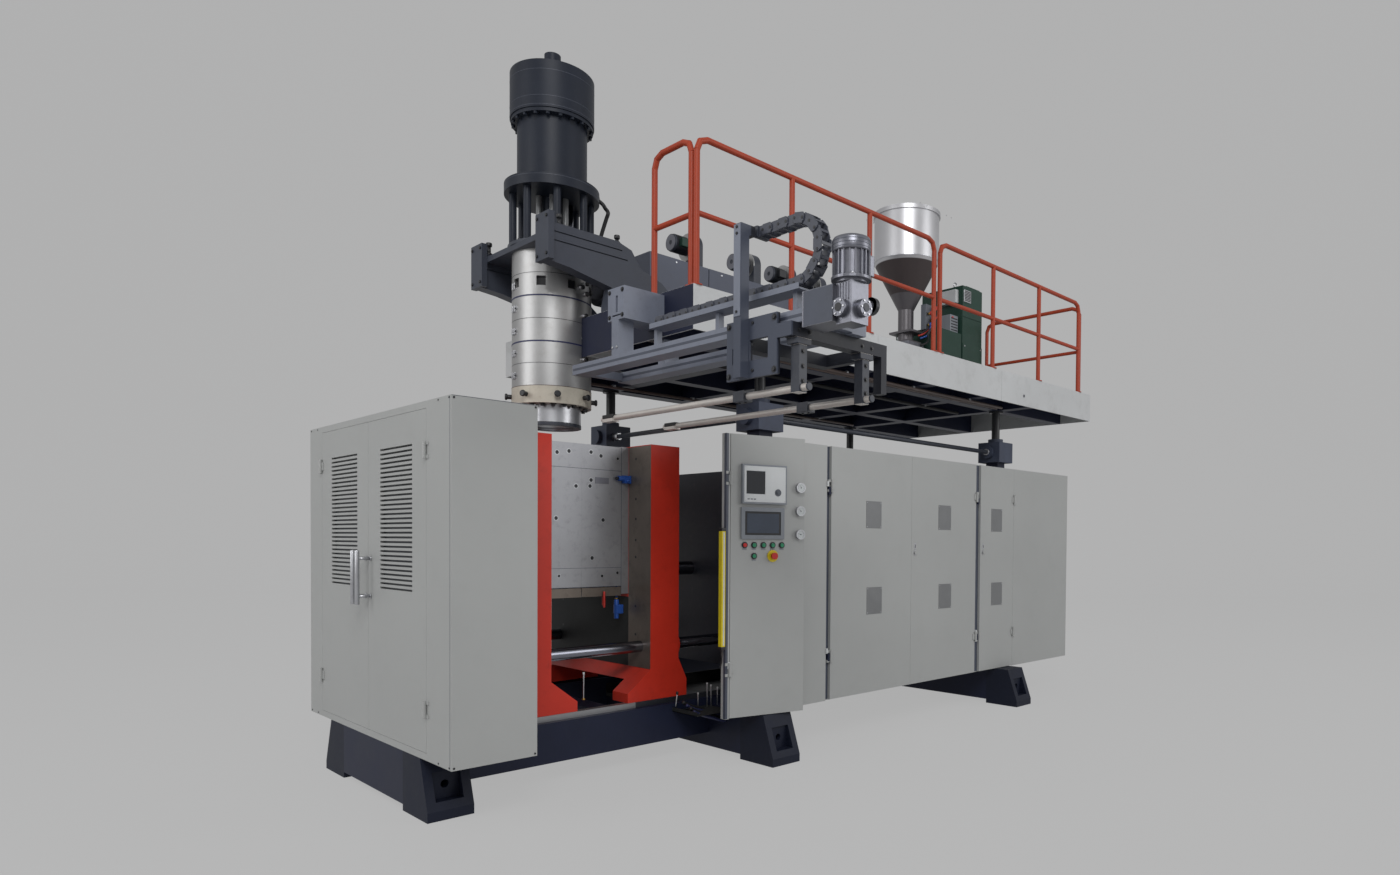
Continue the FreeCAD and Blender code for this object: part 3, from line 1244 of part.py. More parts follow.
top = rod("mandrel_head", centre_x, centre_y, pin_head_low, pin_head, 70)
node("mandrel", group("mandrel_pieces", [pin, tip, top]))

# ---------------------------------------------------------------- extruder
barrel_radius = size("barrel_radius", 110)
barrel_end = size("barrel_end", 6100)
throat_x = size("throat_x", 5750)
throat_side = size("throat_side", 300)
barrel_start = f"({centre_x} + {band_radius} + {seat_gap})"
pipe = rod("barrel_pipe", barrel_start, centre_y, melt_height, barrel_radius,
           f"{barrel_end} - {barrel_start}", "X")
neck = rod("barrel_flange", f"{barrel_start} + 120", centre_y, melt_height,
           f"{barrel_radius} + 50", 70, "X")
throat = box("barrel_throat", throat_x, f"{centre_y} - {throat_side} / 2",
             f"{melt_height} - {throat_side} / 2", throat_side, throat_side,
             f"{throat_side} + 80")
stands = [pipe, neck, throat]
for i, x in enumerate((2440, 3130, 3905, 5000)):
    stands.append(box("barrel_stand_%d" % i, x, f"{centre_y} - 110", deck_top, 90, 220,
                      f"{melt_height} - {deck_top}"))
tools = [
    rod("barrel_hole", f"{barrel_start} - 1", centre_y, melt_height, melt_radius,
        f"{barrel_end} - {barrel_start} + 2", "X"),
    rod("throat_hole", f"{throat_x} + {throat_side} / 2", centre_y, melt_height, melt_radius,
        f"{throat_side} + 80"),
]
node("extruder_barrel", cut("barrel_cut", fuse("barrel_fused", stands), tools))
screw_start = size("screw_start", 1785)
node("extruder_screw", rod("screw_core", screw_start, centre_y, melt_height,
                           f"{melt_radius} - {fit}", f"{barrel_end} - {screw_start}", "X"))

cover_y = size("cover_y", 1110)
cover_drop = size("cover_drop", 150)
cover_rise = size("cover_rise", 315)
cover_low = f"({melt_height} - {cover_drop})"
cover_top = f"({melt_height} + {cover_rise})"
cover_wall = size("cover_wall", 15)
cover_1_x = size("cover_1_x", 2130)
cover_1_end = size("cover_1_end", 2750)
cover_2_x = size("cover_2_x", 2760)
cover_2_end = size("cover_2_end", 3500)
cover_3_x = size("cover_3_x", 3510)
cover_3_end = size("cover_3_end", 4300)
covers = []
cover_width = f"(2 * ({centre_y} - {cover_y}))"
for tag, x, end in (("1", cover_1_x, cover_1_end), ("2", cover_2_x, cover_2_end),
                    ("3", cover_3_x, cover_3_end)):
    skins = [box("cover_skin_" + tag, x, cover_y, cover_low, f"{end} - {x}", cover_width,
                 f"{cover_top} - {cover_low}")]
    for leg, lx in (("a", f"{x} + 40"), ("b", f"{end} - 80")):
        for side, ly in (("f", cover_y), ("r", f"{cover_y} + {cover_width} - {cover_wall}")):
            skins.append(box("cover_leg_%s%s_%s" % (leg, side, tag), lx, ly, deck_top, 40,
                             cover_wall, f"{cover_low} - {deck_top} + 5"))
    tools = [
        box("cover_room_" + tag, f"{x} + {cover_wall}", f"{cover_y} + {cover_wall}",
            f"{cover_low} - 1", f"{end} - {x} - 2 * {cover_wall}",
            f"{cover_width} - 2 * {cover_wall}", f"{cover_top} - {cover_low} - {cover_wall} + 1"),
        rod("cover_hole_" + tag, f"{x} - 1", centre_y, melt_height, f"{barrel_radius} + 15",
            f"{end} - {x} + 2", "X"),
    ]
    covers.append(cut("cover_" + tag, fuse("cover_fused_" + tag, skins), tools))
node("barrel_covers", group("covers_all", covers))

blower_radius = size("blower_radius", 115)
blower_wide = size("blower_wide", 90)
blower_rise = size("blower_rise", 175)
blower_height = f"({cover_top} + {blower_rise})"
blower_y = size("blower_y", 1230)
fans = []
for i, x in enumerate((2600, 3290, 3760, 4190)):
    scroll = rod("fan_scroll_%d" % i, x, blower_y, blower_height, blower_radius, blower_wide, "X")
    rim = rod("fan_rim_%d" % i, f"{x} + {blower_wide}", blower_y, blower_height,
              f"{blower_radius} * 0.6", 14, "X")
    eye = rod("fan_eye_%d" % i, f"{x} + {blower_wide} - 10", blower_y, blower_height,
              f"{blower_radius} * 0.45", 40, "X")
    outlet = box("fan_outlet_%d" % i, x, f"{blower_y} - {blower_radius}", cover_top,
                 blower_wide, f"{blower_radius} * 1.1", f"{blower_height} - {cover_top}")
    motor = rod("fan_motor_%d" % i, f"{x} - 170", blower_y, blower_height,
                f"{blower_radius} * 0.62", 172, "X")
    fans.append(cut("fan_%d" % i, fuse("fan_fused_%d" % i, [scroll, rim, outlet, motor]), [eye]))
node("blowers", group("fans_all", fans))

hopper_x = f"({throat_x} + {throat_side} / 2)"
neck_pipe = size("neck_pipe", 382)
cone_high = size("cone_high", 543)
drum_length = size("drum_length", 560)
hopper_radius = size("hopper_radius", 375)
hopper_wall = size("hopper_wall", 8)
neck_size = size("neck_size", 90)
throat_rise = size("throat_rise", 80)
throat_top = f"({melt_height} + {throat_side} / 2 + {throat_rise})"
hopper_neck = f"({throat_top} + {neck_pipe})"
hopper_bend = f"({hopper_neck} + {cone_high})"
hopper_top = f"({hopper_bend} + {drum_length})"
outside = fuse("hopper_outside", [
    rod("hopper_drum", hopper_x, centre_y, hopper_bend, hopper_radius,
        f"{hopper_top} - {hopper_bend}"),
    rod("hopper_rim", hopper_x, centre_y, f"{hopper_top} - 45", f"{hopper_radius} + 14", 45),
    cone("hopper_cone", hopper_x, centre_y, hopper_neck, neck_size, hopper_radius,
         f"{hopper_bend} - {hopper_neck}"),
    rod("hopper_pipe", hopper_x, centre_y, throat_top, neck_size,
        f"{hopper_neck} - {throat_top}"),
    box("hopper_plate", f"{hopper_x} - 130", f"{centre_y} - 130", throat_top, 260, 260, 22),
    box("hopper_gate", f"{hopper_x} - 120", f"{centre_y} - 170", f"{throat_top} + 110", 240, 320,
        24),
])
inside = fuse("hopper_inside", [
    rod("hopper_room", hopper_x, centre_y, hopper_bend, f"{hopper_radius} - {hopper_wall}",
        f"{hopper_top} - {hopper_bend} - {hopper_wall}"),
    cone("hopper_funnel", hopper_x, centre_y, hopper_neck, f"{neck_size} - {hopper_wall}",
         f"{hopper_radius} - {hopper_wall}", f"{hopper_bend} - {hopper_neck}"),
    rod("hopper_throat", hopper_x, centre_y, f"{throat_top} - 1",
        f"{neck_size} - {hopper_wall}", f"{hopper_neck} - {throat_top} + 2"),
])
node("hopper", cut("hopper_cut", outside, [inside]))

drive_side = size("drive_side", 600)
drive_high_box = size("drive_high_box", 800)
case = box("gear_case", barrel_end, f"{centre_y} - {drive_side} / 2", deck_top, 500,
           drive_side, drive_high_box)
face = rod("gear_face", f"{barrel_end} + 1", centre_y, melt_height, f"{barrel_radius} + 90", 60,
           "X")
node("extruder_gearbox", fuse("gear_fused", [case, face]))
motor_x = size("motor_x", 6620)
motor_end = size("motor_end", 7040)
motor_top = size("motor_top", 4790)
node("drive_motor", fuse("motor_fused", [
    box("motor_case", motor_x, f"{centre_y} - {drive_side} / 2", deck_top,
        f"{motor_end} - {motor_x}", drive_side, f"{motor_top} - {deck_top}"),
    rod("motor_coupling", f"{barrel_end} + 500", centre_y, melt_height, 110,
        f"{motor_x} - {barrel_end} - 500", "X"),
]))

# ---------------------------------------------------------------- take-out unit
beam_1_x = size("beam_1_x", 1150)
beam_2_x = size("beam_2_x", 1530)
beam_side = size("beam_side", 120)
beam_base = size("beam_base", 2865)
beam_deep = size("beam_deep", 70)
beam_start = size("beam_start", -1650)
beam_end = size("beam_end", 660)
leg_y = size("leg_y", 85)
tray_base = size("tray_base", 3045)
tray_start = size("tray_start", -1600)
tray_end = size("tray_end", -260)
tray_lip = size("tray_lip", 22)
hanger_low = size("hanger_low", 3165)
hanger_high = size("hanger_high", 215)
hanger_wide = size("hanger_wide", 190)
hanger_y = size("hanger_y", 20)
beam_roof = f"({beam_base} + {beam_deep})"
rack = []
for tag, x in (("1", beam_1_x), ("2", beam_2_x)):
    rack.append(box("rack_beam_" + tag, x, beam_start, beam_base, beam_side,
                    f"{beam_end} - {beam_start}", beam_deep))
for tag, y in (("near", beam_start), ("far", f"{beam_end} - 60")):
    rack.append(box("rack_tie_" + tag, beam_1_x, y, f"{beam_base} + 8",
                    f"{beam_2_x} + {beam_side} - {beam_1_x}", 60, f"{beam_deep} - 16"))
rack.append(box("rack_hanger", beam_1_x, hanger_y, hanger_low, f"{platform_x} - {beam_1_x}",
                hanger_wide, hanger_high))
rack.append(box("rack_leg_1", beam_1_x, leg_y, beam_roof, beam_side, 80,
                f"{hanger_low} - {beam_roof}"))
rack.append(box("rack_leg_2", beam_2_x, leg_y, beam_roof, beam_side, 80,
                f"{platform_low} - {beam_roof}"))
rack.append(box("rack_tray", f"{beam_1_x} + 6", tray_start, tray_base, 108,
                f"{tray_end} - {tray_start}", 10))
for tag, x in (("a", f"{beam_1_x} + 2"), ("b", f"{beam_1_x} + 114")):
    rack.append(box("rack_lip_" + tag, x, tray_start, tray_base, 4,
                    f"{tray_end} - {tray_start}", f"10 + {tray_lip}"))
for i, y in enumerate((-1550, -900, -290)):
    rack.append(box("rack_foot_%d" % i, f"{beam_1_x} + 40", y, beam_roof, 40, 30,
                    f"{tray_base} - {beam_roof}"))
tools = [
    box("rack_slot_1", f"{beam_1_x} - 1", f"{hanger_y} + 75", f"{hanger_low} + 50", 60, 22,
        f"{hanger_high} - 105"),
    box("rack_slot_2", f"{beam_1_x} - 1", f"{hanger_y} + 40", f"{hanger_low} + 25", 20,
        f"{hanger_wide} - 90", 10),
]
node("takeout_beams", cut("rack_cut", fuse("rack_fused", rack), tools))

cover_long = size("cover_long", 216)
gear_long = size("gear_long", 102)
gear_wide = size("gear_wide", 130)
gear_low = size("gear_low", 2810)
gear_high = size("gear_high", 212)
drive_radius = size("drive_radius", 88)
drive_tall = size("drive_tall", 228)
gear_x = f"({beam_1_x} + 12)"
gear_end = f"({beam_start} - {cover_long} - {gear_long})"
gear_middle = f"({gear_end} + {gear_long} / 2 + 10)"
drive_x = f"({gear_x} + {gear_wide} / 2)"
drive = [
    box("drive_cover", f"{beam_1_x} - 20", f"{beam_start} - {cover_long}", f"{gear_low} + 14", 160,
        cover_long, f"{gear_high} - 26"),
    box("drive_bevel", gear_x, gear_end, gear_low, gear_wide, f"{gear_long} + 2", gear_high),
    rod("drive_flange", drive_x, gear_middle, f"{gear_low} + {gear_high} - 1",
        f"{drive_radius} * 0.92", 24),
    rod("drive_body", drive_x, gear_middle, f"{gear_low} + {gear_high} + 22", drive_radius,
        f"{drive_tall} - 22"),
    box("drive_terminals", f"{drive_x} + {drive_radius} - 14", f"{gear_middle} - 45",
        f"{gear_low} + {gear_high} + 60", 44, 90, 90),
    rod("drive_side", f"{gear_x} - 28", f"{gear_middle} + 6", f"{gear_low} + 78", 46, 30, "X"),
    rod("drive_front", f"{drive_x} + 12", f"{gear_end} - 32", f"{gear_low} + 78", 46, 34, "Y"),
    rod("drive_shaft", f"{gear_x} + {gear_wide} - 2", gear_middle, f"{gear_low} + 130", 26, 112,
        "X"),
    rod("drive_collar", f"{gear_x} + {gear_wide} + 86", gear_middle, f"{gear_low} + 130", 44, 24,
        "X"),
]
node("takeout_drive", fuse("drive_fused", drive))

plate_x = size("plate_x", 1100)
slide_plate = size("slide_plate", 25)
plate_y = size("plate_y", -1490)
plate_wide = size("plate_wide", 410)
plate_low = size("plate_low", 2600)
plate_top = size("plate_top", 2930)
cross_y = size("cross_y", -1600)
cross_low = size("cross_low", 2790)
cross_end = size("cross_end", 1900)
tail_drop = size("tail_drop", 215)
mast_y = size("mast_y", -1265)
mast_top = size("mast_top", 3445)
cross_top = f"({beam_base} - {seat_gap})"
shuttle = [
    box("shuttle_plate", plate_x, plate_y, plate_low, slide_plate, plate_wide,
        f"{plate_top} - {plate_low}"),
    box("shuttle_cross", plate_x, cross_y, cross_low, f"{cross_end} - {plate_x}", 80,
        f"{cross_top} - {cross_low}"),
    box("shuttle_side", plate_x, cross_y, cross_low, slide_plate, f"{plate_y} - {cross_y} + 10",
        f"{cross_top} - {cross_low}"),
    box("shuttle_tail", f"{cross_end} - 50", cross_y, f"{cross_low} - {tail_drop}", 50, 60,
        f"{cross_top} - {cross_low} + {tail_drop}"),
    box("shuttle_rear", plate_x, f"{plate_y} + {plate_wide} - 80", cross_low,
        f"{cross_end} - {plate_x}", 80, f"{cross_top} - {cross_low}"),
    box("shuttle_end", f"{cross_end} - 50", cross_y, cross_low, 50,
        f"{plate_y} + {plate_wide} - {cross_y}", f"{cross_top} - {cross_low}"),
    box("shuttle_mast", f"{plate_x} - 60", mast_y, plate_low, 60, 60,
        f"{mast_top} - {plate_low}"),
    box("shuttle_hook", f"{plate_x} - 60", mast_y, f"{mast_top} - 55", 104, 60, 55),
]
for i, y in enumerate((f"{plate_y} + 30", f"{plate_y} + {plate_wide} - 90")):
    shuttle.append(box("shuttle_guide_%d" % i, f"{plate_x} + {slide_plate}", y,
                       f"{beam_base} + 6", f"{beam_1_x} - {plate_x} - {slide_plate} - {seat_gap}",
                       60, 54))
tools = [
    box("shuttle_window", f"{plate_x} - 1", f"{plate_y} + 70", f"{plate_low} + 95",
        f"{slide_plate} + 2", 150, 115),
    box("shuttle_slot", f"{plate_x} - 1", f"{plate_y} + {plate_wide} - 70", f"{plate_low} + 90",
        f"{slide_plate} + 2", 22, 90),
]
node("carriage", cut("shuttle_cut", fuse("shuttle_fused", shuttle), tools))

arm_radius = size("arm_radius", 20)
arm_drop = size("arm_drop", 264)
arm_height = f"({cross_low} - {arm_drop})"
arm_reach = size("arm_reach", 1980)
arm_left_x = size("arm_left_x", 1200)
arm_right_x = size("arm_right_x", 1720)
for tag, x in (("left", arm_left_x), ("right", arm_right_x)):
    pieces = [
        rod("grip_bar_" + tag, x, f"{cross_y} - 40", arm_height, arm_radius, arm_reach, "Y"),
        box("grip_post_" + tag, f"{x} - 30", f"{cross_y} + 10", f"{arm_height} - 26", 60, 60,
            f"{cross_low} - {seat_gap} - {arm_height} + 26"),
        box("grip_shoe_" + tag, f"{x} - 55", f"{cross_y} + 2", f"{cross_low} - {seat_gap} - 30",
            110, 76, 30),
        box("grip_clamp_" + tag, f"{x} - 34", -1150, f"{arm_height} - 30", 68, 90, 60),
        box("grip_pad_" + tag, f"{x} - 26", 190, f"{arm_height} - 24", 52, 120, 48),
    ]
    node("grip_arm_" + tag, fuse("grip_fused_" + tag, pieces))

# Drag chain: links at one pitch along a lower run, a half turn and an upper run.
link_pitch = size("link_pitch", 60)
link_high = size("link_high", 60)
link_thick = size("link_thick", 8)
chain_radius = size("chain_radius", 170)
chain_low = size("chain_low", 3090)
chain_turn = size("chain_turn", -1548)
chain_fixed = size("chain_fixed", -305)
chain_free = size("chain_free", -1235)
chain_middle = f"({beam_1_x} + 60)"
low_count = 20
turn_count = 9
high_count = 5
frames = []
for i in range(low_count):
    frames.append((f"{chain_fixed} - ({i} + 0.5) * ({chain_fixed} - {chain_turn}) / {low_count}",
                   chain_low, 0.0))
for i in range(turn_count):
    angle = math.pi * (i + 0.5) / turn_count
    frames.append((f"{chain_turn} - {chain_radius} * ({math.sin(angle):.6f})",
                   f"{chain_low} + {chain_radius} * ({1 - math.cos(angle):.6f})", -angle))
for i in range(high_count):
    frames.append((f"{chain_turn} + ({i} + 0.5) * ({chain_free} - {chain_turn}) / {high_count}",
                   f"{chain_low} + 2 * {chain_radius}", math.pi))
links = []
for i, (y, z, angle) in enumerate(frames):
    inner = 26 if i % 2 else 34.3
    pieces = []
    turn = FreeCAD.Rotation(FreeCAD.Vector(1, 0, 0), math.degrees(angle))
    for side in (-1, 1):
        x0 = inner if side > 0 else -inner - 8
        plate = doc.addObject("Part::Box", "link_plate_%d_%d" % (i, side))
        bind(plate, "Length", link_thick)
        bind(plate, "Width", f"{link_pitch} * 1.4")
        bind(plate, "Height", link_high)
        offset = turn.multVec(FreeCAD.Vector(0, -42, -30))
        plate.Placement = FreeCAD.Placement(FreeCAD.Vector(), turn)
        at(plate, f"{chain_middle} + {x0}", f"{y} + ({offset.y:.6f})", f"{z} + ({offset.z:.6f})")
        pieces.append(plate)
    for end in (-1, 1):
        bar = doc.addObject("Part::Box", "link_bar_%d_%d" % (i, end))
        bind(bar, "Length", 2 * inner + 16)
        bind(bar, "Width", f"{link_pitch} * 0.25")
        bind(bar, "Height", 5)
        offset = turn.multVec(FreeCAD.Vector(0, -7.5, 30 * end - (5 if end > 0 else 0)))
        bar.Placement = FreeCAD.Placement(FreeCAD.Vector(), turn)
        at(bar, f"{chain_middle} - {inner + 8}", f"{y} + ({offset.y:.6f})",
           f"{z} + ({offset.z:.6f})")
        pieces.append(bar)
    links.append(fuse("chain_link_%d" % i, pieces))
node("drag_chain", group("chain_all", links))

# ---------------------------------------------------------------- checks and export
sheet.clear("D1")
doc.recompute()
problems = []
for thing in doc.Objects:
    for state in thing.State:
        if "Invalid" in state or "Error" in state:
            problems.append(thing.Name + " " + state)
for label, thing in nodes:
    shape = thing.Shape
    if shape.isNull() or not shape.isValid():
        problems.append(label + " has no valid shape")
if problems:
    raise RuntimeError("; ".join(problems[:20]))
for label, thing in nodes:
    thing.Shape.exportStep("parts/" + label + ".step")
    b = thing.Shape.BoundBox
    print("%-24s %3d solids  %8.1f %8.1f  %8.1f %8.1f  %8.1f %8.1f" % (
        label, len(thing.Shape.Solids), b.XMin, b.XMax, b.YMin, b.YMax, b.ZMin, b.ZMax))
print(len(nodes), "nodes")
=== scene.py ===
import math
import bmesh
import bpy
from mathutils import Matrix, Vector


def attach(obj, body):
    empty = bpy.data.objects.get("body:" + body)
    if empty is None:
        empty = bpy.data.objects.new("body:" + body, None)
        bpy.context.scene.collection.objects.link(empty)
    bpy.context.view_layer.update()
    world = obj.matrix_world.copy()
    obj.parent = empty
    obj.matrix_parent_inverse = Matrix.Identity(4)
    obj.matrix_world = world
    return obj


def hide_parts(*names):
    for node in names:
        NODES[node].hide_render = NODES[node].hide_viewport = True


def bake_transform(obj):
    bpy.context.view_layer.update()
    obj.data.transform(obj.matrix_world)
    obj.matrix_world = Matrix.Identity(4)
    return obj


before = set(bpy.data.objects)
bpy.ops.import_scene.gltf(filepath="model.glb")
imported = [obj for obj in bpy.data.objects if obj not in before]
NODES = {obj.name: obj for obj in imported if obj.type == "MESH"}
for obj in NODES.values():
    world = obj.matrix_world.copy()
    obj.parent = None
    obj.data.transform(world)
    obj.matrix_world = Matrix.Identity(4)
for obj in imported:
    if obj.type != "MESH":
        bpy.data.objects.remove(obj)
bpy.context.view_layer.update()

# Metres from the left enclosure's front left corner to the frame's origin.
OX, OY = 3.5855, 0.28

# Places in millimetres from that corner.
CX, CY = 1385, 1360  # the head's upright axis
HOPPER_X = 5900  # the hopper's axis
MOULD_FRONT = 921  # the moulds' front faces
MOULD_DEPTH, PLATEN_FACE = 349, 417  # from the moulds' seam to their backs and to the platens
GAUGE_X = 2648  # the middle of the operator door's gauges
BLOWER_Y, BLOWER_Z = 1230, 4265  # the axis that all blowers share
MOTOR_X, MOTOR_Y = 1227, -1907  # the take-out gearmotor's upright axis
GEAR_Z = 2888  # the height of its gearbox's shafts
CARRIAGE_FACE = 1100.5  # the carriage's left side
SHAFT_X, SHAFT_Y, SHAFT_Z = 2425, 125, 2655  # the jacks' shafts along Y and X, their height
CHAIN_X = 1210  # the middle of the drag chain
LEFT_ARM_X, RIGHT_ARM_X = 1200, 1720  # the take-out arms

# The ways that things point, seen from the machine's front.
LEFT, RIGHT = (-1, 0, 0), (1, 0, 0)
FRONT, BACK = (0, -1, 0), (0, 1, 0)
DOWN, UP = (0, 0, -1), (0, 0, 1)


def V(x, y, z):
    """Millimetres from the enclosure's front left corner to metres in the frame."""
    return Vector((x / 1000 - OX, y / 1000 - OY, z / 1000))


def put(name, data):
    """A new object in the scene that shows the data."""
    obj = bpy.data.objects.new(name, data)
    bpy.context.scene.collection.objects.link(obj)
    return obj


def around(radius, degrees, centre=(CX, CY)):
    """A point on a circle, about the head's axis unless a centre is given."""
    a = math.radians(degrees)
    return centre[0] + radius * math.cos(a), centre[1] + radius * math.sin(a)


def turn_z(degrees):
    """A turn about the upright."""
    return Matrix.Rotation(math.radians(degrees), 3, "Z")


# ---- material tools
def new_material(name):
    material = bpy.data.materials.new(name)
    material.use_nodes = True
    tree = material.node_tree
    return material, tree, tree.nodes["Principled BSDF"]


def node(tree, kind, **inputs):
    """A new shader node; an input's name is written with _ for a space."""
    made = tree.nodes.new("ShaderNode" + kind)
    for key, value in inputs.items():
        made.inputs[key.replace("_", " ")].default_value = value
    return made


def coords(tree, stretch=(1, 1, 1)):
    """The object's own coordinates, stretched."""
    source = node(tree, "TexCoord")
    mapping = node(tree, "Mapping", Scale=stretch)
    tree.links.new(source.outputs["Object"], mapping.inputs["Vector"])
    return mapping.outputs["Vector"]


def noise(tree, place, **inputs):
    made = node(tree, "TexNoise", **inputs)
    tree.links.new(place, made.inputs["Vector"])
    return made.outputs["Fac"]


def span(tree, source, **limits):
    """Maps a value from one range to another."""
    made = node(tree, "MapRange", **limits)
    tree.links.new(source, made.inputs["Value"])
    return made.outputs["Result"]


def ramp(tree, source, low, high):
    """Fades between two colours over the middle of a noise's range."""
    made = node(tree, "ValToRGB")
    first, last = made.color_ramp.elements
    first.position, last.position = 0.3, 0.7
    first.color, last.color = (*low, 1), (*high, 1)
    tree.links.new(source, made.inputs["Fac"])
    return made.outputs["Color"]


def mixed(tree, kind, factor, a, b):
    """A mix of two values or outputs: a where the factor is 0, b where it is 1."""
    mix = node(tree, "Mix")
    mix.data_type = kind
    tree.links.new(factor, mix.inputs["Factor"])
    for name, value in (("A", a), ("B", b)):
        if isinstance(value, bpy.types.NodeSocket):
            tree.links.new(value, mix.inputs[name])
        else:
            mix.inputs[name].default_value = value
    return mix.outputs["Result"]


def mixed_shader(tree, factor, a, b, output):
    """Shows shader a where the factor is 0 and b where it is 1."""
    mix = node(tree, "MixShader")
    tree.links.new(factor, mix.inputs["Fac"])
    tree.links.new(a, mix.inputs[1])
    tree.links.new(b, mix.inputs[2])
    tree.links.new(mix.outputs["Shader"], tree.nodes[output].inputs["Surface"])


def shade(colour, factor):
    """A darker or lighter colour."""
    return tuple(min(1.0, x * factor) for x in colour)


def linear(srgb):
    """Scene colour from an 8-bit sRGB colour."""
    return tuple(((x / 255 + 0.055) / 1.055) ** 2.4 if x > 10 else x / 255 / 12.92 for x in srgb)


LOOKS = {}


def look(key, name, srgb, rough, metal=0, vary=0.05, scale=3, grain=700, bump=0.05,
         stretch=(1, 1, 1), coat=0, dirt=None, dirt_amount=0.35, rough_vary=0.08, spec=0.5):
    """A procedural surface: drift in colour and roughness, fine grain, optional dirt."""
    material, tree, shader = new_material(name)
    base = linear(srgb)
    place = coords(tree)
    broad = noise(tree, place, Scale=scale, Detail=4.0, Roughness=0.6)
    colour = ramp(tree, broad, shade(base, 1 - vary), shade(base, 1 + vary))
    if dirt is not None:
        spots = noise(tree, place, Scale=scale * 4.5, Detail=8.0, Roughness=0.72)
        mask = span(tree, spots, From_Min=0.52, From_Max=0.78, To_Max=dirt_amount)
        colour = mixed(tree, "RGBA", mask, colour, (*linear(dirt), 1))
    tree.links.new(colour, shader.inputs["Base Color"])
    for socket, value in (("Metallic", metal), ("Coat Weight", coat), ("Coat Roughness", 0.15),
                          ("Specular IOR Level", spec)):
        shader.inputs[socket].default_value = value
    drift = span(tree, broad, To_Min=max(0.02, rough - rough_vary), To_Max=rough + rough_vary)
    tree.links.new(drift, shader.inputs["Roughness"])
    if bump:
        dents = node(tree, "Bump", Strength=bump, Distance=0.002)
        tree.links.new(noise(tree, coords(tree, stretch), Scale=grain, Detail=2.0),
                       dents.inputs["Height"])
        tree.links.new(dents.outputs["Normal"], shader.inputs["Normal"])
    LOOKS[key] = material


def two_tone(key, edge, low, rough, axis="Z", metal=0.35):
    """Gives a look another colour, roughness and metal below an edge on an axis, in metres."""
    soft = 0.004
    tree = LOOKS[key].node_tree
    apart = node(tree, "SeparateXYZ")
    tree.links.new(coords(tree), apart.inputs["Vector"])
    step = span(tree, apart.outputs[axis], From_Min=edge - soft, From_Max=edge + soft)
    for socket, kind, value in (("Base Color", "RGBA", (*linear(low), 1)),
                                ("Roughness", "FLOAT", rough), ("Metallic", "FLOAT", metal)):
        here = tree.nodes["Principled BSDF"].inputs[socket]
        above = here.links[0].from_socket if here.links else here.default_value
        tree.links.new(mixed(tree, kind, step, value, above), here)


# ---- materials
look("sheet", "sheet_grey", (163, 164, 162), 0.42, vary=0.035, scale=0.9, grain=420,
     dirt=(120, 120, 116), dirt_amount=0.08)
look("sheet_pale", "platform_grey", (190, 191, 191), 0.5, scale=1.3, grain=300, bump=0.06,
     dirt=(120, 118, 112), dirt_amount=0.25)
look("navy", "frame_navy", (26, 31, 52), 0.5, vary=0.14, scale=2.6, grain=260, bump=0.12,
     dirt=(46, 50, 62), dirt_amount=0.25, spec=0.25)
look("cast_navy", "cast_navy", (19, 24, 40), 0.55, vary=0.16, scale=4, grain=120, bump=0.3,
     dirt=(44, 48, 58), dirt_amount=0.3, spec=0.25)
look("carriage", "carriage_dark", (34, 36, 43), 0.48, vary=0.12, scale=4, grain=300, bump=0.06,
     dirt=(60, 62, 70), dirt_amount=0.3, spec=0.3)
look("orange", "platen_orange", (198, 50, 33), 0.42, vary=0.08, scale=2.2, grain=160, bump=0.14,
     dirt=(118, 32, 24), dirt_amount=0.3, spec=0.35)
look("rail", "rail_orange", (160, 60, 34), 0.44, vary=0.08, grain=300, bump=0.04,
     dirt=(140, 80, 62), dirt_amount=0.25, spec=0.3)
look("machined", "machined_steel", (122, 113, 105), 0.42, metal=0.7, vary=0.16, scale=2.4,
     bump=0.03, stretch=(1, 1, 0.04), dirt=(60, 55, 50), dirt_amount=0.5)
look("mould", "mould_aluminium", (158, 159, 163), 0.42, metal=0.75, vary=0.08, scale=3.5, grain=500,
     bump=0.02, stretch=(0.06, 1, 1), dirt=(108, 106, 106), dirt_amount=0.45)
look("chrome", "bar_chrome", (128, 130, 140), 0.22, metal=1, grain=900, bump=0.004, rough_vary=0.04)
look("steel", "bright_steel", (188, 189, 193), 0.32, metal=0.95, vary=0.07, scale=6, grain=600,
     bump=0.02, dirt=(100, 98, 96), dirt_amount=0.3)
look("band", "heater_band", (168, 168, 168), 0.42, metal=0.85, grain=260, bump=0.03,
     stretch=(1, 1, 0.05), dirt=(120, 112, 102), dirt_amount=0.25)
look("beige", "ring_beige", (186, 180, 166), 0.5, metal=0.1, vary=0.1, scale=8, grain=240, bump=0.1,
     dirt=(118, 100, 80), dirt_amount=0.4)
look("head", "head_blue_grey", (30, 35, 46), 0.46, vary=0.12, scale=3.4, grain=300,
     dirt=(50, 55, 64), dirt_amount=0.22, spec=0.24)
look("crosshead", "crosshead_slate", (60, 64, 74), 0.45, vary=0.1, grain=300, dirt=(40, 43, 50),
     dirt_amount=0.3, spec=0.3)
# Dark for the drip tray; also painted shade on the platens' inner faces.
look("dark_and_painted_shade", "dark_and_painted_shade", (38, 40, 40), 0.55, vary=0.14, grain=260, bump=0.06,
     dirt=(60, 58, 54), dirt_amount=0.3, spec=0.25)
# Dark enamel; also painted shade behind the louvres and in a gap on the take-out beams.
look("dark", "dark_enamel_and_shade", (46, 50, 60), 0.45, vary=0.15, scale=4.5, grain=260, bump=0.09,
     dirt=(88, 88, 92), dirt_amount=0.3)
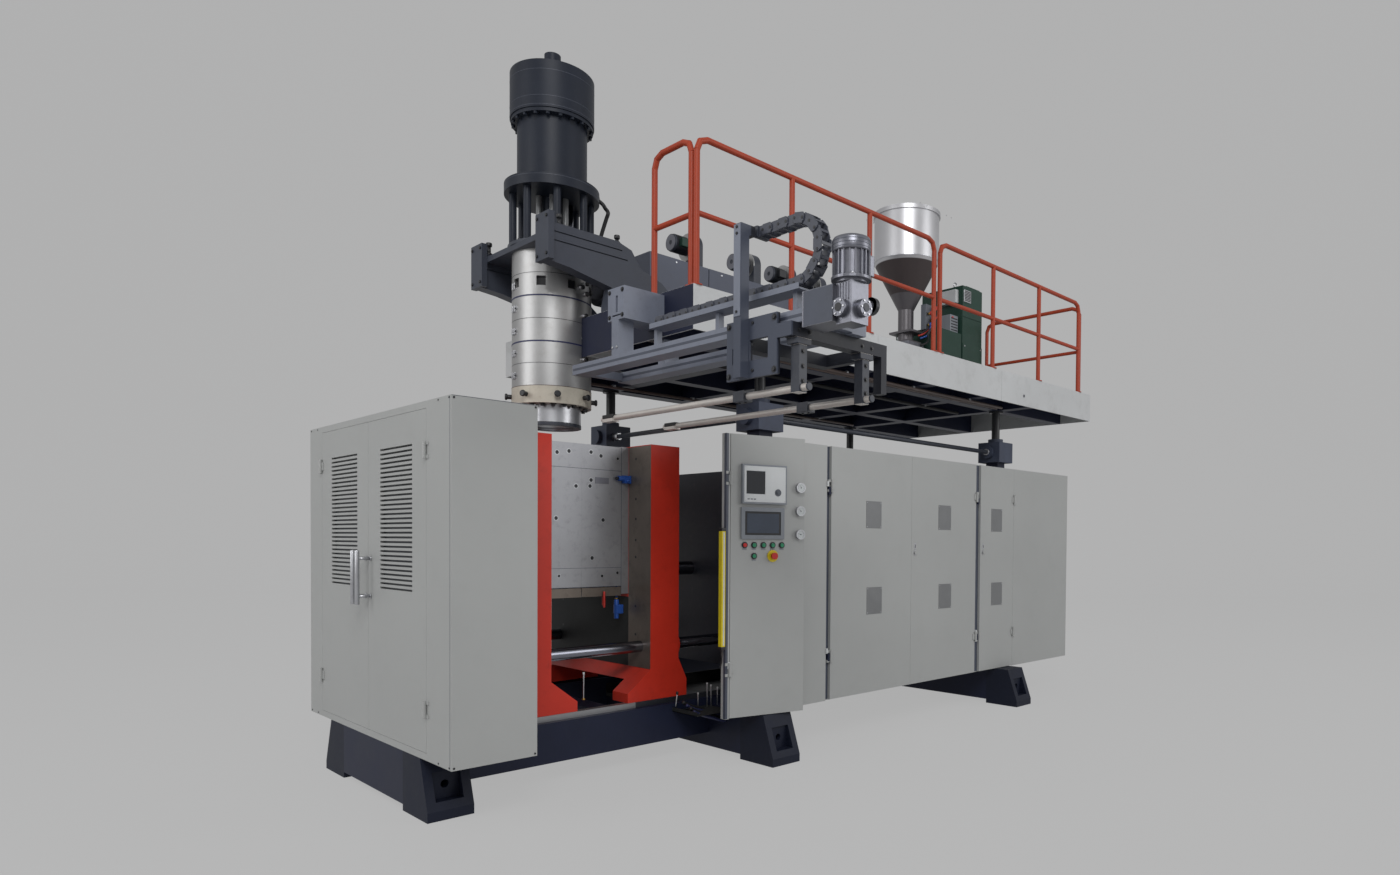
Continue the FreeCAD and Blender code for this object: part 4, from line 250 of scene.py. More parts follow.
# Black plastic; also painted shade inside the mould holes, in the barrel's windows and in the narrow
# gaps between its heater bands.
look("black", "black_plastic_and_shade", (26, 27, 31), 0.42, vary=0.12, scale=9, grain=500, bump=0.06,
     dirt=(62, 62, 66))
look("rubber", "black_rubber", (22, 22, 24), 0.6, vary=0.12, scale=14, bump=0.08, dirt=(58, 58, 60))
look("green", "drive_green", (32, 60, 50), 0.45, vary=0.12, grain=280, bump=0.08, dirt=(66, 82, 76),
     dirt_amount=0.25, spec=0.3)
look("cast", "cast_aluminium", (122, 123, 131), 0.34, metal=0.8, vary=0.1, scale=9, grain=240,
     bump=0.14, dirt=(70, 70, 75), dirt_amount=0.4)
look("grey", "unit_grey", (86, 90, 98), 0.4, scale=8, bump=0.03)
look("bezel", "bezel_pale", (128, 132, 138), 0.4, scale=8, bump=0.03)
look("screen", "screen_dark", (20, 24, 32), 0.1, vary=0.08, scale=12, bump=0, coat=0.6,
     rough_vary=0.03)
look("screen_lit", "screen_blue", (52, 62, 78), 0.12, vary=0.12, scale=6, bump=0, coat=0.6,
     rough_vary=0.03)
look("red", "signal_red", (190, 30, 26), 0.3, scale=12, bump=0.02, coat=0.3)
look("lamp_green", "signal_green", (32, 132, 92), 0.3, scale=12, bump=0.02, coat=0.3)
look("yellow", "signal_yellow", (214, 192, 26), 0.4, vary=0.06, scale=6, grain=500, bump=0.03,
     dirt=(150, 124, 26), dirt_amount=0.25)
look("white", "pale_plastic", (196, 198, 198), 0.35, vary=0.04, scale=12, bump=0.02)
look("hose_red", "hose_red", (176, 44, 34), 0.42, vary=0.07, scale=14, grain=600)
look("hose_blue", "hose_blue", (30, 74, 150), 0.42, vary=0.07, scale=14, grain=600)
look("brass", "fitting_brass", (176, 142, 74), 0.32, metal=0.9, vary=0.1, scale=18, grain=400,
     bump=0.04)
look("arm", "arm_tube", (196, 190, 184), 0.38, metal=0.3, vary=0.06, scale=5, grain=500, bump=0.02,
     dirt=(140, 124, 114), dirt_amount=0.3)
look("slate", "slate_paint", (114, 119, 132), 0.42, vary=0.08, grain=300, dirt=(78, 80, 88))
look("slate_dark", "slate_dark", (66, 71, 84), 0.45, vary=0.12, scale=3.5, grain=300, bump=0.07,
     dirt=(40, 41, 48))
look("face", "face_plate", (206, 208, 208), 0.4, vary=0.03, scale=8, bump=0.01)
look("glass", "dial_face", (196, 200, 200), 0.15, scale=12, bump=0, coat=0.5)
look("plate", "plain_plate", (120, 121, 122), 0.4, metal=0.35, scale=9, bump=0.02)
look("cover", "barrel_cover", (88, 92, 104), 0.5, metal=0.1, vary=0.08, grain=300,
     dirt=(88, 86, 86), spec=0.3)
look("brown", "warm_cover", (96, 84, 80), 0.45, metal=0.4, vary=0.12, scale=4, grain=300,
     dirt=(72, 62, 58), dirt_amount=0.4)
look("jack", "jack_casting", (60, 66, 82), 0.5, vary=0.14, scale=5, grain=160, bump=0.25,
     dirt=(38, 41, 50), dirt_amount=0.4, spec=0.3)
look("hopper", "hopper_steel", (196, 196, 199), 0.4, metal=0.95, scale=2, grain=380, bump=0.03,
     stretch=(1, 1, 0.03), rough_vary=0.06)
look("track", "track_steel", (44, 46, 52), 0.45, metal=0.3, vary=0.14, scale=4, grain=400,
     dirt=(78, 78, 80))
look("chain", "chain_plastic", (66, 69, 79), 0.42, vary=0.12, scale=9, grain=500,
     dirt=(104, 106, 114))
# Navy for the bed's cables; also painted shade in the wide gaps between the heater bands.
look("cable_navy", "navy_cable_and_gap_shade", (38, 42, 78), 0.5, vary=0.1, scale=9, grain=500)

# The hopper's lower parts: its cone wears a painted dark brown reflection, and below that it is
# another grey. Also the left part of the rails and the carriage's left side.
two_tone("hopper", 4.895, (66, 58, 58), 0.5)
two_tone("hopper", 4.56, (96, 93, 96), 0.4, metal=0.5)
two_tone("track", 1.66 - OX, (150, 150, 152), 0.34, axis="X", metal=0.8)
two_tone("carriage", 1.112 - OX, (68, 73, 86), 0.45, axis="X", metal=0.0)

# The nodes that wear each look.
WORN_BY = {
    "navy": "base_frame platform_frame",
    "cast_navy": "cast_feet",
    "track": "guide_rails",
    "sheet": "louvre_door_front louvre_door_rear enclosure_shell control_cabinet control_door "
             "cabinet_door_left cabinet_door_right electrical_cabinet right_cabinet_door "
             "right_cabinet",
    "red": "button_1 emergency_stop",
    "lamp_green": "button_2 button_3 button_4 button_5 button_6",
    "bezel": "operator_units",
    "steel": "pressure_gauges die mandrel extruder_screw",
    "yellow": "light_curtain",
    "jack": "jack_gearboxes",
    "dark": "hydraulic_unit rear_plate clamp_cylinder blowers",
    "orange": "left_platen right_platen",
    "mould": "left_mould right_mould",
    "chrome": "tie_bars piston_rod",
    "sheet_pale": "platform_deck",
    "black": "jack_screws drag_chain",
    "rail": "handrails",
    "crosshead": "head_support",
    "band": "head_barrel heater_bands",
    "beige": "die_ring",
    "head": "head_posts head_cylinder",
    "plate": "ram",
    "cast": "extruder_barrel takeout_drive",
    "cover": "barrel_covers",
    "hopper": "hopper",
    "green": "extruder_gearbox drive_motor",
    "slate": "takeout_beams",
    "carriage": "carriage",
    "arm": "grip_arm_left grip_arm_right",
    "hose_blue": "mould_fittings",
}
for key, names in WORN_BY.items():
    for name in names.split():
        NODES[name].data.materials.clear()
        NODES[name].data.materials.append(LOOKS[key])


# ---- mesh tools
def turn_to(axis):
    """The turn from Z to an axis."""
    return Vector(UP).rotation_difference(Vector(axis).normalized()).to_matrix()


def soften(mesh, edges, width, profile=0.6):
    """Rounds edges by a width in millimetres."""
    bmesh.ops.bevel(mesh, geom=edges, offset=width / 1000, segments=2, profile=profile,
                    affect="EDGES")


def circle(mesh, centre, turn, radius, height, count):
    """A ring of new vertices at a height along the axis through the centre."""
    ring = []
    for i in range(count):
        a = 2 * math.pi * i / count
        co = Vector((radius * math.cos(a) / 1000, radius * math.sin(a) / 1000, height / 1000))
        ring.append(mesh.verts.new(centre + turn @ co))
    return ring


def skin(mesh, rings):
    """Faces between each ring of vertices and the next."""
    for a, b in zip(rings, rings[1:]):
        for i in range(len(a)):
            j = (i + 1) % len(a)
            mesh.faces.new((a[i], a[j], b[j], b[i]))


def close_ends(mesh, first, last):
    mesh.faces.new(list(reversed(first)))
    mesh.faces.new(last)


class Piece:
    """One mesh piece, built from millimetre positions, riding on a body."""

    def __init__(self, name, body, slot, look_key):
        self.name, self.body, self.slot = name, body, slot
        self.looks = [look_key]
        self.bm = bmesh.new()
        self.matrix = None
        self.index = 0

    def use(self, look_key):
        """The forms that follow wear this look."""
        if look_key not in self.looks:
            self.looks.append(look_key)
        self.index = self.looks.index(look_key)
        return self

    def _take(self, form, smooth=False):
        """Moves a finished form into the piece; smooth None keeps each face as it is."""
        for f in form.faces:
            f.material_index = self.index
            if smooth is not None:
                f.smooth = smooth
        mesh = bpy.data.meshes.new("form")
        form.to_mesh(mesh)
        form.free()
        self.bm.from_mesh(mesh)
        bpy.data.meshes.remove(mesh)

    def box(self, x0, x1, y0, y1, z0, z1, bevel=0, turn=None, about=None):
        """A block between two corners, turned about a point if a turn is given."""
        form = bmesh.new()
        bmesh.ops.create_cube(form, size=1)
        a, b = V(x0, y0, z0), V(x1, y1, z1)
        mid, ext = (a + b) / 2, b - a
        for v in form.verts:
            v.co = Vector((v.co.x * ext.x, v.co.y * ext.y, v.co.z * ext.z)) + mid
        if bevel:
            soften(form, list(form.edges), bevel)
        if turn:
            bmesh.ops.rotate(form, cent=V(*about), matrix=turn, verts=form.verts)
        self._take(form)

    def rod(self, p, q, r, seg=16, cap=0):
        """A cylinder from p to q; cap bevels its ends."""
        a, b = V(*p), V(*q)
        form = bmesh.new()
        bmesh.ops.create_cone(form, cap_ends=True, segments=seg, radius1=r / 1000,
                              radius2=r / 1000, depth=(b - a).length)
        if cap:
            rims = [e for e in form.edges if abs(e.verts[0].co.z - e.verts[1].co.z) < 1e-6]
            soften(form, rims, cap, profile=0.5)
        turn = turn_to(b - a).to_4x4()
        bmesh.ops.transform(form, matrix=Matrix.Translation((a + b) / 2) @ turn, verts=form.verts)
        for f in form.faces:
            f.smooth = len(f.verts) == 4
        self._take(form, None)

    def stud(self, p, axis, high, r, seg=16, cap=0):
        """A short cylinder that stands from p along an axis of length one."""
        q = [place + way * high for place, way in zip(p, axis)]
        self.rod(p, q, r, seg=seg, cap=cap)

    def screw(self, p, axis, r, high):
        """A hexagon head that stands from p."""
        self.stud(p, axis, high, r, seg=6, cap=r * 0.12)

    def bolt(self, p, axis, r, high):
        """A screw with a washer a quarter as high."""
        self.stud(p, axis, high / 4, r * 1.45)
        self.screw(p, axis, r, high)

    def lathe(self, centre, axis, profile, seg=48):
        """Turns a profile of (radius, distance) about an axis through centre."""
        form = bmesh.new()
        rings = [circle(form, V(*centre), turn_to(axis), r, h, seg) for r, h in profile]
        skin(form, rings)
        close_ends(form, rings[0], rings[-1])
        self._take(form, True)

    def annulus(self, centre, axis, inner, outer, high, seg=40):
        """A flat ring with a square section."""
        form = bmesh.new()
        section = ((inner, 0), (outer, 0), (outer, high), (inner, high))
        rings = [circle(form, V(*centre), turn_to(axis), r, h, seg) for r, h in section]
        skin(form, rings + rings[:1])
        self._take(form)

    def ring(self, centre, axis, big, small, seg=28, side=10):
        """A round ring of round section."""
        form = bmesh.new()
        turn = turn_to(axis)
        grid = []
        for i in range(seg):
            a = 2 * math.pi * i / seg
            row = []
            for j in range(side):
                b = 2 * math.pi * j / side
                r = (big + small * math.cos(b)) / 1000
                co = Vector((r * math.cos(a), r * math.sin(a), small * math.sin(b) / 1000))
                row.append(form.verts.new(V(*centre) + turn @ co))
            grid.append(row)
        for i in range(seg):
            for j in range(side):
                n, k = (i + 1) % seg, (j + 1) % side
                form.faces.new((grid[i][j], grid[n][j], grid[n][k], grid[i][k]))
        self._take(form, True)

    def prism(self, points, start, end, bevel=0):
        """An outline of (y, z) points pushed along X."""
        form = bmesh.new()
        low, high = ([form.verts.new(V(x, y, z)) for y, z in points] for x in (start, end))
        skin(form, (low, high))
        close_ends(form, low, high)
        bmesh.ops.recalc_face_normals(form, faces=form.faces)
        if bevel:
            soften(form, list(form.edges), bevel)
        self._take(form)

    def hose(self, points, r, side=10, steps=6):
        """A bent tube through the points, smoothed."""
        pts = [V(*p) for p in points]
        path = []
        n = len(pts)
        for i in range(n - 1):
            p0, p1 = pts[max(i - 1, 0)], pts[i]
            p2, p3 = pts[i + 1], pts[min(i + 2, n - 1)]
            for s in range(steps):
                t = s / steps
                bend = 2 * p0 - 5 * p1 + 4 * p2 - p3
                sway = 3 * p1 - p0 - 3 * p2 + p3
                path.append(0.5 * ((2 * p1) + (p2 - p0) * t + bend * t * t + sway * t * t * t))
        path.append(pts[-1])
        form = bmesh.new()
        rings = []
        up = None
        for i, p in enumerate(path):
            d = (path[min(i + 1, len(path) - 1)] - path[max(i - 1, 0)]).normalized()
            if up is None:
                up = d.orthogonal().normalized()
            up = (up - d * up.dot(d)).normalized()
            across = d.cross(up)
            ring = []
            for k in range(side):
                a = 2 * math.pi * k / side
                out = up * math.cos(a) + across * math.sin(a)
                ring.append(form.verts.new(p + out * r / 1000))
            rings.append(ring)
        skin(form, rings)
        close_ends(form, rings[0], rings[-1])
        self._take(form, True)

    def done(self, ride=True):
        """Makes the object with its looks and, unless ride is false, puts it on its body."""
        mesh = bpy.data.meshes.new(self.name)
        bmesh.ops.recalc_face_normals(self.bm, faces=self.bm.faces)
        self.bm.to_mesh(mesh)
        self.bm.free()
        for key in self.looks:
            mesh.materials.append(LOOKS[key])
        if self.matrix:
            mesh.transform(self.matrix)
        obj = put(self.name, mesh)
        if ride:
            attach(obj, self.body)
        return obj


# ---- enclosure and cabinets
p = Piece("enclosure_screws", "base", "dark_steel", "black")
for x, z in ((14, 2496), (511, 2496), (14, 390), (511, 390)):
    p.stud((x, 0.5, z), FRONT, 3.5, 6.5, seg=12, cap=1)
for y, z in ((30, 2497), (175, 2497), (30, 389), (175, 389), (2290, 2497), (2430, 2497),
             (2290, 389), (2430, 389)):
    p.stud((0.5, y, z), LEFT, 3, 6, seg=12, cap=1)
for y in (60, 620, 1240, 1860, 2400):
    for x in (60, 465):
        p.stud((x, y, 2509.5), UP, 3.5, 6.5, seg=12, cap=1)
p.done()

# Each louvre door: a dark plate behind its slots as painted shade inside the pressed louvres, and
# its pull handle.
for name, body, seam, low, high in (("front_louvre_shade_and_pull", "front_louvre_door", 1230, 550, 1065),
                                    ("rear_louvre_shade_and_pull", "rear_louvre_door", 1310, 1475, 1990)):
    p = Piece(name, body, "frame_blue", "dark")
    p.box(25, 28, low - 12, high + 12, 1356, 2286)
    p.use("steel").rod((-85, seam, 1259), (-85, seam, 1616), 14.5, seg=24, cap=2)
    for z in (1313, 1562):
        p.rod((-85, seam, z), (-0.5, seam, z), 10.6, seg=20)
        p.stud((-7, seam, z), RIGHT, 6.5, 16, seg=20, cap=2)
    p.done()

# Thin dark lines along the enclosure's front corners and top front edge: painted shade from the
# panels' flanges.
p = Piece("enclosure_seam_shade", "base", "grey_paint", "slate_dark")
p.box(-0.8, 1, 20, 22.5, 378, 2508)
p.box(2.5, 522, -0.8, 1, 2506, 2508.2)
p.box(523.6, 525.8, 4, 590, 378, 2508)
p.done()

# Dark strips behind the gaps beside the doors, as painted shade; then the doors' hinges.
p = Piece("door_gap_shade_and_hinges", "base", "frame_blue", "slate_dark")
p.box(3113, 3163, 24.2, 26, 382, 2486)
p.box(5340, 5419, 24.2, 26, 382, 2486)
p.box(2024.2, 2046, -0.8, 1, 378, 2490)
p.box(2024.2, 2026, 0, 24, 378, 2490)
p.use("navy")
for z in (2120, 735):
    p.box(3128, 3160, -10, 24, z - 32, z + 32, 4)
    p.box(5362, 5388, -8, 24, z - 30, z + 30, 4)
p.use("white")
for z in (2175, 790):
    p.box(3106, 3126, -13, 12, z - 22, z + 22, 4)
    p.box(5344, 5362, -12, 12, z - 20, z + 20, 4)
p.done()

for name, body, spots in (
        ("left_door_plates", "left_cabinet_door", ((3718, 1936), (3733, 1182))),
        ("middle_door_plates", "middle_cabinet_door", ((4790, 1938), (4806, 1178))),
        ("far_door_plates", "far_cabinet_door", ((5727, 1934), (5742, 1165)))):
    p = Piece(name, body, "unit_grey", "plate")
    for x, z in spots:
        p.box(x - 104, x + 104, -2.2, 0.6, z - 118, z + 118, 0.6)
        p.use("steel")
        for sx in (-92, 92):
            for sz in (-106, 106):
                p.stud((x + sx, -1.8, z + sz), FRONT, 2, 4, seg=8)
        p.use("plate")
    p.done()

for name, body, x in (("middle_lock", "middle_cabinet_door", 4320),
                      ("far_lock", "far_cabinet_door", 5473)):
    p = Piece(name, body, "bar_chrome", "steel")
    p.annulus((x, 1, 1600), FRONT, 17, 23, 5, 28)
    p.box(x - 14, x + 14, -2.5, 0.6, 1632, 1690, 1.5)
    p.use("black")
    p.box(x - 2.5, x + 2.5, -4.2, -2, 1645, 1676)
    p.done()

# ---- operator door
# The door's pieces are drawn as if it were shut and turned about its hinge to stand ajar.
HINGE = V(2060, -12, 0)
AJAR = Matrix.Translation(HINGE) @ turn_z(-15).to_4x4() @ Matrix.Translation(-HINGE)


def on_door(name, slot, look_key):
    """A new piece on the operator door."""
    piece = Piece(name, "operator_door", slot, look_key)
    piece.matrix = AJAR
    return piece


p = on_door("controller_face", "unit_grey", "face")
p.box(2159, 2176, -32, -29, 1989, 2257, 1)
p.box(2334, 2509, -32, -29, 1989, 2257, 1)
p.box(2176, 2334, -32, -29, 2221, 2257, 1)
p.box(2176, 2334, -32, -29, 1989, 2049, 1)
p.use("grey")
p.annulus((2443, -31.5, 2064), FRONT, 15, 27, 3, 32)
p.stud((2443, -26, 2064), FRONT, 15, 14, seg=24, cap=3)
for i in range(3):
    p.box(2185 + 26 * i, 2203 + 26 * i, -33, -31, 2006, 2014, 0.5)
p.use("steel")
for x in (2168, 2500):
    for z in (1998, 2248):
        p.stud((x, -31, z), FRONT, 3, 4, seg=10)
p.done()

p = on_door("controller_screen", "gauge_dark", "screen")
p.box(2177.5, 2332.5, -28.5, -24.5, 2051.5, 2218.5, 1)
p.done()

p = on_door("touch_screen", "gauge_dark", "black")
p.box(2177, 2480, -12.5, -8.5, 1743, 1919, 1)
p.use("screen_lit")
p.box(2193, 2464, -13.4, -12, 1758, 1904, 0.5)
p.done()

p = on_door("gauge_faces", "bar_chrome", "steel")
for i in range(3):
    z = 1750 + 180 * i
    p.use("steel").annulus((GAUGE_X, -26, z), FRONT, 30, 38.5, 6)
    p.use("glass").stud((GAUGE_X, -27, z), FRONT, 2, 30.5, seg=36)
    p.use("black")
    for k in range(9):
        a = math.radians(-135 + 33.75 * k)
        x, y = GAUGE_X + 24 * math.sin(a), z + 24 * math.cos(a)
        p.stud((x, -28.6, y), FRONT, 1, 1.6, seg=8)
    a = math.radians(-70 + 25 * i)
    for s in range(6):
        x, y = GAUGE_X + (s * 4 - 3) * math.sin(a), z + (s * 4 - 3) * math.cos(a)
        p.stud((x, -28.8, y), FRONT, 1.2, 1.8, seg=8)
    p.stud((GAUGE_X, -28.6, z), FRONT, 2.4, 4)
p.done()

p = on_door("button_surrounds", "button_pale", "white")
for x, z in [(2178 + 79 * i, 1667) for i in range(5)] + [(2257, 1585)]:
    p.use("black").annulus((x, 0.5, z), FRONT, 16, 24, 8, 28)
    p.use("bezel").box(x - 18, x + 18, -2, 0.5, z - 35, z - 25, 0.6)
p.use("yellow").annulus((2415, 0.5, 1585), FRONT, 13, 45, 9.5)
p.done()

# The operator door's two edges are drawn dark as painted shade; then its hinges.
p = on_door("door_edge_shade_and_hinges", "frame_blue", "slate_dark")
p.box(2046.6, 2048.4, 1, 24, 384, 2486)
p.box(2682.8, 2684.4, 1, 24, 384, 2486)
p.use("white")
for z in (2159, 773):
    p.box(2042, 2064, -9, 16, z - 26, z + 26, 4)
    p.box(2064, 2078, -3.5, 1, z - 18, z + 18, 1)
p.done()

p = Piece("curtain_ends", "base", "dark_steel", "black")
for z in (893, 1767):
    p.box(1983, 2027, -2, 36, z, z + 25, 5)
p.use("rubber")
p.hose([(2005, 17, 893), (2005, 17, 850), (2010, 30, 800), (2024, 60, 760)], 5, side=8)
p.use("glass")
p.box(1999, 2011, -1.5, 1, 925, 1760)
p.done()

# ---- clamp unit
# Holes in the moulds' fronts, as (x, z).
HOLES = [(1179, 2340), (1277, 2356), (1463, 2363), (1550, 2340), (1464, 2151), (1336, 2099),
         (1455, 2105), (1172, 1855), (1570, 1850), (1475, 1558), (1197, 1427), (1563, 1419),
         (1206, 1308), (1449, 1299), (1060, 2200), (1065, 1440), (1700, 1440), (1700, 2330)]
for name, body, side in (("left_mould_face", "clamp_left", -1),
                         ("right_mould_face", "clamp_right", 1)):
    p = Piece(name, body, "mould_metal", "slate_dark")
    for x, z in HOLES:
        if (x - CX) * side < 0:
            continue
        large = 1500 < z < 2300 or z > 2330
        r = 15 if large else 11
        p.use("steel").annulus((x, MOULD_FRONT, z), FRONT, r, r + 3.5, 2.2, 20)
        # The hole's inside is a flat black disc: painted shade.
        p.use("black").stud((x, MOULD_FRONT, z), FRONT, 1.6, r, seg=20)
    x0, x1 = sorted((CX + side * 0.6, CX + side * MOULD_DEPTH))
    for z, high in ((2235, 3.2), (1482, 2.6), (1337, 3)):
        p.use("slate_dark").box(x0, x1, 919.3, MOULD_FRONT, z - high / 2, z + high / 2)
    p.use("machined").box(x0 + 2, x1 - 2, 918.6, MOULD_FRONT, 1262, 1330, 1)
    if side > 0:
        p.use("cast").box(1500, 1620, 917.8, MOULD_FRONT, 2128, 2176, 1)
        p.use("slate_dark").box(1732.5, 1735.6, 919.2, MOULD_FRONT, 1262, 2420)
    else:
        p.use("dark").box(x0, x0 + 26, 905, MOULD_FRONT, 2170, 2232, 2)
        p.use("hose_blue").rod((1052, 912, 1260), (1052, 912, 1340), 11, cap=3)
    p.done()

for name, body, side in (("left_platen_face", "clamp_left", -1),
                         ("right_platen_face", "clamp_right", 1)):
    p = Piece(name, body, "mould_metal", "machined")
    x = CX + side * PLATEN_FACE
    a, b = sorted((x - side * 0.8, x + side * 0.6))
    p.box(a, b, 624, 916, 705, 2424)
    # Painted shade: the inner face is dark low down in the middle, and all over at the rear.
    p.use("dark_and_painted_shade").box(a, b, 916, 1804, 705, 1250)
    p.box(a, b, 1804, 2096, 705, 2424)
    p.use("black")
    for y in (820, 1900):
        for z in (2330, 2018, 1862, 1698, 1565, 1180, 960):
            p.rod((x + side * 0.5, y, z), (x - side * 1.6, y, z), 10)
    p.done()

p = Piece("mould_couplings", "clamp_right", "fitting_blue", "hose_blue")
p.rod((1690, 899, 2176), (1800.5, 899, 2176), 20, seg=24, cap=4)
p.rod((1765, 899, 2176), (1765, 868, 2150), 13, cap=3)
p.use("black").stud((1672, 899, 2176), RIGHT, 20, 13, cap=2)
p.use("hose_red").rod((1598, 950, 1188), (1598, 950, 1322), 14, cap=4)
p.rod((1573, 905, 1175), (1573, 905, 1300), 9, seg=12, cap=3)
p.use("hose_blue").rod((1713, 950, 1080), (1713, 950, 1230), 19, cap=4)
p.box(1698, 1762, 925, 972, 1118, 1190, 6)
p.use("brass").stud((1598, 950, 1320), UP, 13, 11, seg=6)
p.stud((1713, 950, 1230), UP, 15, 12, seg=6)
p.done()

p = Piece("clamp_tie_rods", "base", "dark_steel", "steel")
for y in (1170, 1550):
    for z in (1262, 1638):
        p.rod((2938, y, z), (3694, y, z), 13)
        p.bolt((3692, y, z), RIGHT, 24, 18)
p.done()

p = Piece("bed_fittings", "base", "bar_chrome", "steel")
p.rod((1210, 600, 548), (1210, 600, 735), 4.5, seg=12, cap=1)
p.use("white").stud((1210, 600, 730), UP, 18, 7, seg=12, cap=2)
p.use("brass").stud((1210, 600, 549), UP, 11, 11, seg=6)
for x, top in ((2170, 490), (2262, 556), (2302, 536), (2368, 512)):
    p.use("steel").rod((x, 500, 371), (x, 500, top), 4.5, seg=12, cap=1)
    p.use("white").rod((x, 500, top - 6), (x, 500, top + 8), 7, seg=12, cap=2)
p.use("steel").rod((1992, 551, 404), (2005, 551, 500), 6, seg=12, cap=2)
p.use("black").rod((2004, 551, 494), (2007, 551, 518), 10, seg=12, cap=3)
p.done()

p = Piece("drip_tray", "base", "frame_blue", "dark_and_painted_shade")
p.box(1965, 3690, 255, 1480, 368, 372)
p.box(1965, 3690, 1480, 1484, 368, 476)
p.box(1965, 1969, 255, 1484, 368, 400)
p.done()

p = Piece("bed_hoses", "base", "dark_steel", "rubber")
for k, (r, key) in enumerate(((15, "rubber"), (12, "cable_navy")) * 2):
    y = 470 - 44 * k
    p.use(key).hose([(1998, y, 448 - 18 * k), (2075, y, 405 - 16 * k), (2190, y, 372 - 18 * k),
                     (2320, y + 10, 330 - 18 * k), (2460, y + 30, 330 - 12 * k),
                     (2620, y + 60, 366)], r, steps=5)
p.done()

p = Piece("jack_shafts", "base", "dark_steel", "dark")
p.rod((SHAFT_X, 255, SHAFT_Z), (SHAFT_X, 2070, SHAFT_Z), 21, seg=20)
p.rod((2555, SHAFT_Y, SHAFT_Z), (5800, SHAFT_Y, SHAFT_Z), 21, seg=20)
p.use("steel")
for y0, y1 in ((256, 330), (1990, 2069)):
    p.rod((SHAFT_X, y0, SHAFT_Z), (SHAFT_X, y1, SHAFT_Z), 34, seg=24, cap=3)
for x0, x1 in ((2556, 2640), (5700, 5799)):
    p.rod((x0, SHAFT_Y, SHAFT_Z), (x1, SHAFT_Y, SHAFT_Z), 34, seg=24, cap=3)
p.done()

# ---- head
def spoke(piece, degrees, z, start, end, r, seg, cap):
    """A cylinder that points away from the head's axis, from one radius to another."""
    piece.rod((*around(start, degrees), z), (*around(end, degrees), z), r, seg=seg, cap=cap)


p = Piece("ring_bolts", "platform", "chain_black", "black")
for i in range(8):
    a = 22.5 + 45 * i
    spoke(p, a, 2793.5, 299, 330, 18, 20, 2)
    spoke(p, a, 2793.5, 330, 349, 25, 20, 7)
for i in range(20):
    p.bolt((*around(256, 9 + 18 * i), 2730.5), DOWN, 16, 20)
p.use("dark").annulus((CX, CY, 2571.5), UP, 168, 223, 26, 56)
p.done()

# Rings in the gaps between the heater bands, as painted shade: navy in the wide gaps, black in the
# narrow.
p = Piece("barrel_joint_shade", "platform", "frame_blue", "slate_dark")
for z in (3186.5, 3529.5):
    p.use("cable_navy").annulus((CX, CY, z), UP, 268, 299.4, 11, 64)
for z in (3027, 3362, 3703.4):
    p.use("black").annulus((CX, CY, z), UP, 268, 298.4, 3.4, 64)
p.use("brown").annulus((CX, CY, 2856.5), UP, 268, 300.6, 4.5, 64)
p.done()

# Black plates on the barrel's core, in the band's four windows: painted shade.
p = Piece("barrel_window_shade", "platform", "chain_black", "black")
for i in range(4):
    p.box(CX + 270.4, CX + 274, CY - 34.5, CY + 34.5, 3607.5, 3676.5,
          turn=turn_z(180 + 45 * i), about=(CX, CY, 3642))
p.done()

p = Piece("band_clamps", "platform", "bar_chrome", "steel")
for z in (2943, 3110, 3278, 3450, 3620):
    for a in (174, 20, 97):
        turn = turn_z(a)
        p.use("steel")
        for y in (CY - 26, CY + 8):
            p.box(CX + 296, CX + 312, y, y + 18, z - 24, z + 24, 3, turn=turn, about=(CX, CY, z))
        c = turn @ Vector((305, -30, 0))
        d = turn @ Vector((305, 34, 0))
        p.use("black").rod((CX + c.x, CY + c.y, z), (CX + d.x, CY + d.y, z), 5, seg=10)
p.done()

p = Piece("band_terminals", "platform", "chain_black", "black")
for k, (a, z) in enumerate(((283, 3630), (292, 3668), (301, 3612), (292, 3590), (284, 3742),
                            (297, 3752), (290, 3420), (290, 3250), (290, 3085))):
    spoke(p.use("white" if k % 3 == 1 else "steel"), a, z, 297, 322, 15, 16, 2)
    spoke(p.use("black"), a, z, 322, 341, 18, 16, 5)
p.done()

p = Piece("crosshead_bolts", "platform", "chain_black", "black")
for x, y, low, top, r in ((1107, 1850, 3963, 4062, 24), (1640, 850, 3963, 4028, 22),
                          (1150, 850, 3963, 4052, 20)):
    p.rod((x, y, low - 4), (x, y, top - 30), r * 0.62, seg=18)
    p.rod((x, y, top - 30), (x, y, top), r, seg=18, cap=6)
    p.bolt((x, y, low - 2), UP, r * 1.05, 20)
for y in (847, 1873):
    for z in (3726, 3992):
        for dy in (-66, 66):
            p.screw((1015.5, y + dy, z), LEFT, 12, 10)
for i in range(16):
    p.bolt((*around(313, 11.25 + 22.5 * i), 3950), UP, 11, 14)
p.done()

p = Piece("head_fittings", "platform", "dark_steel", "rubber")
p.hose([(1690, 1210, 4408), (1725, 1185, 4375), (1738, 1165, 4340), (1728, 1109, 4288),
        (1724, 1130, 4240), (1712, 1180, 4124), (1700, 1215, 4000), (1696, 1230, 3955)], 15)
p.use("black").rod((1660, 1215, 4408), (1705, 1206, 4408), 22, seg=6)
p.use("chrome").rod((1540, CY, 3948), (1540, CY, 4352), 25, seg=28)
p.done()

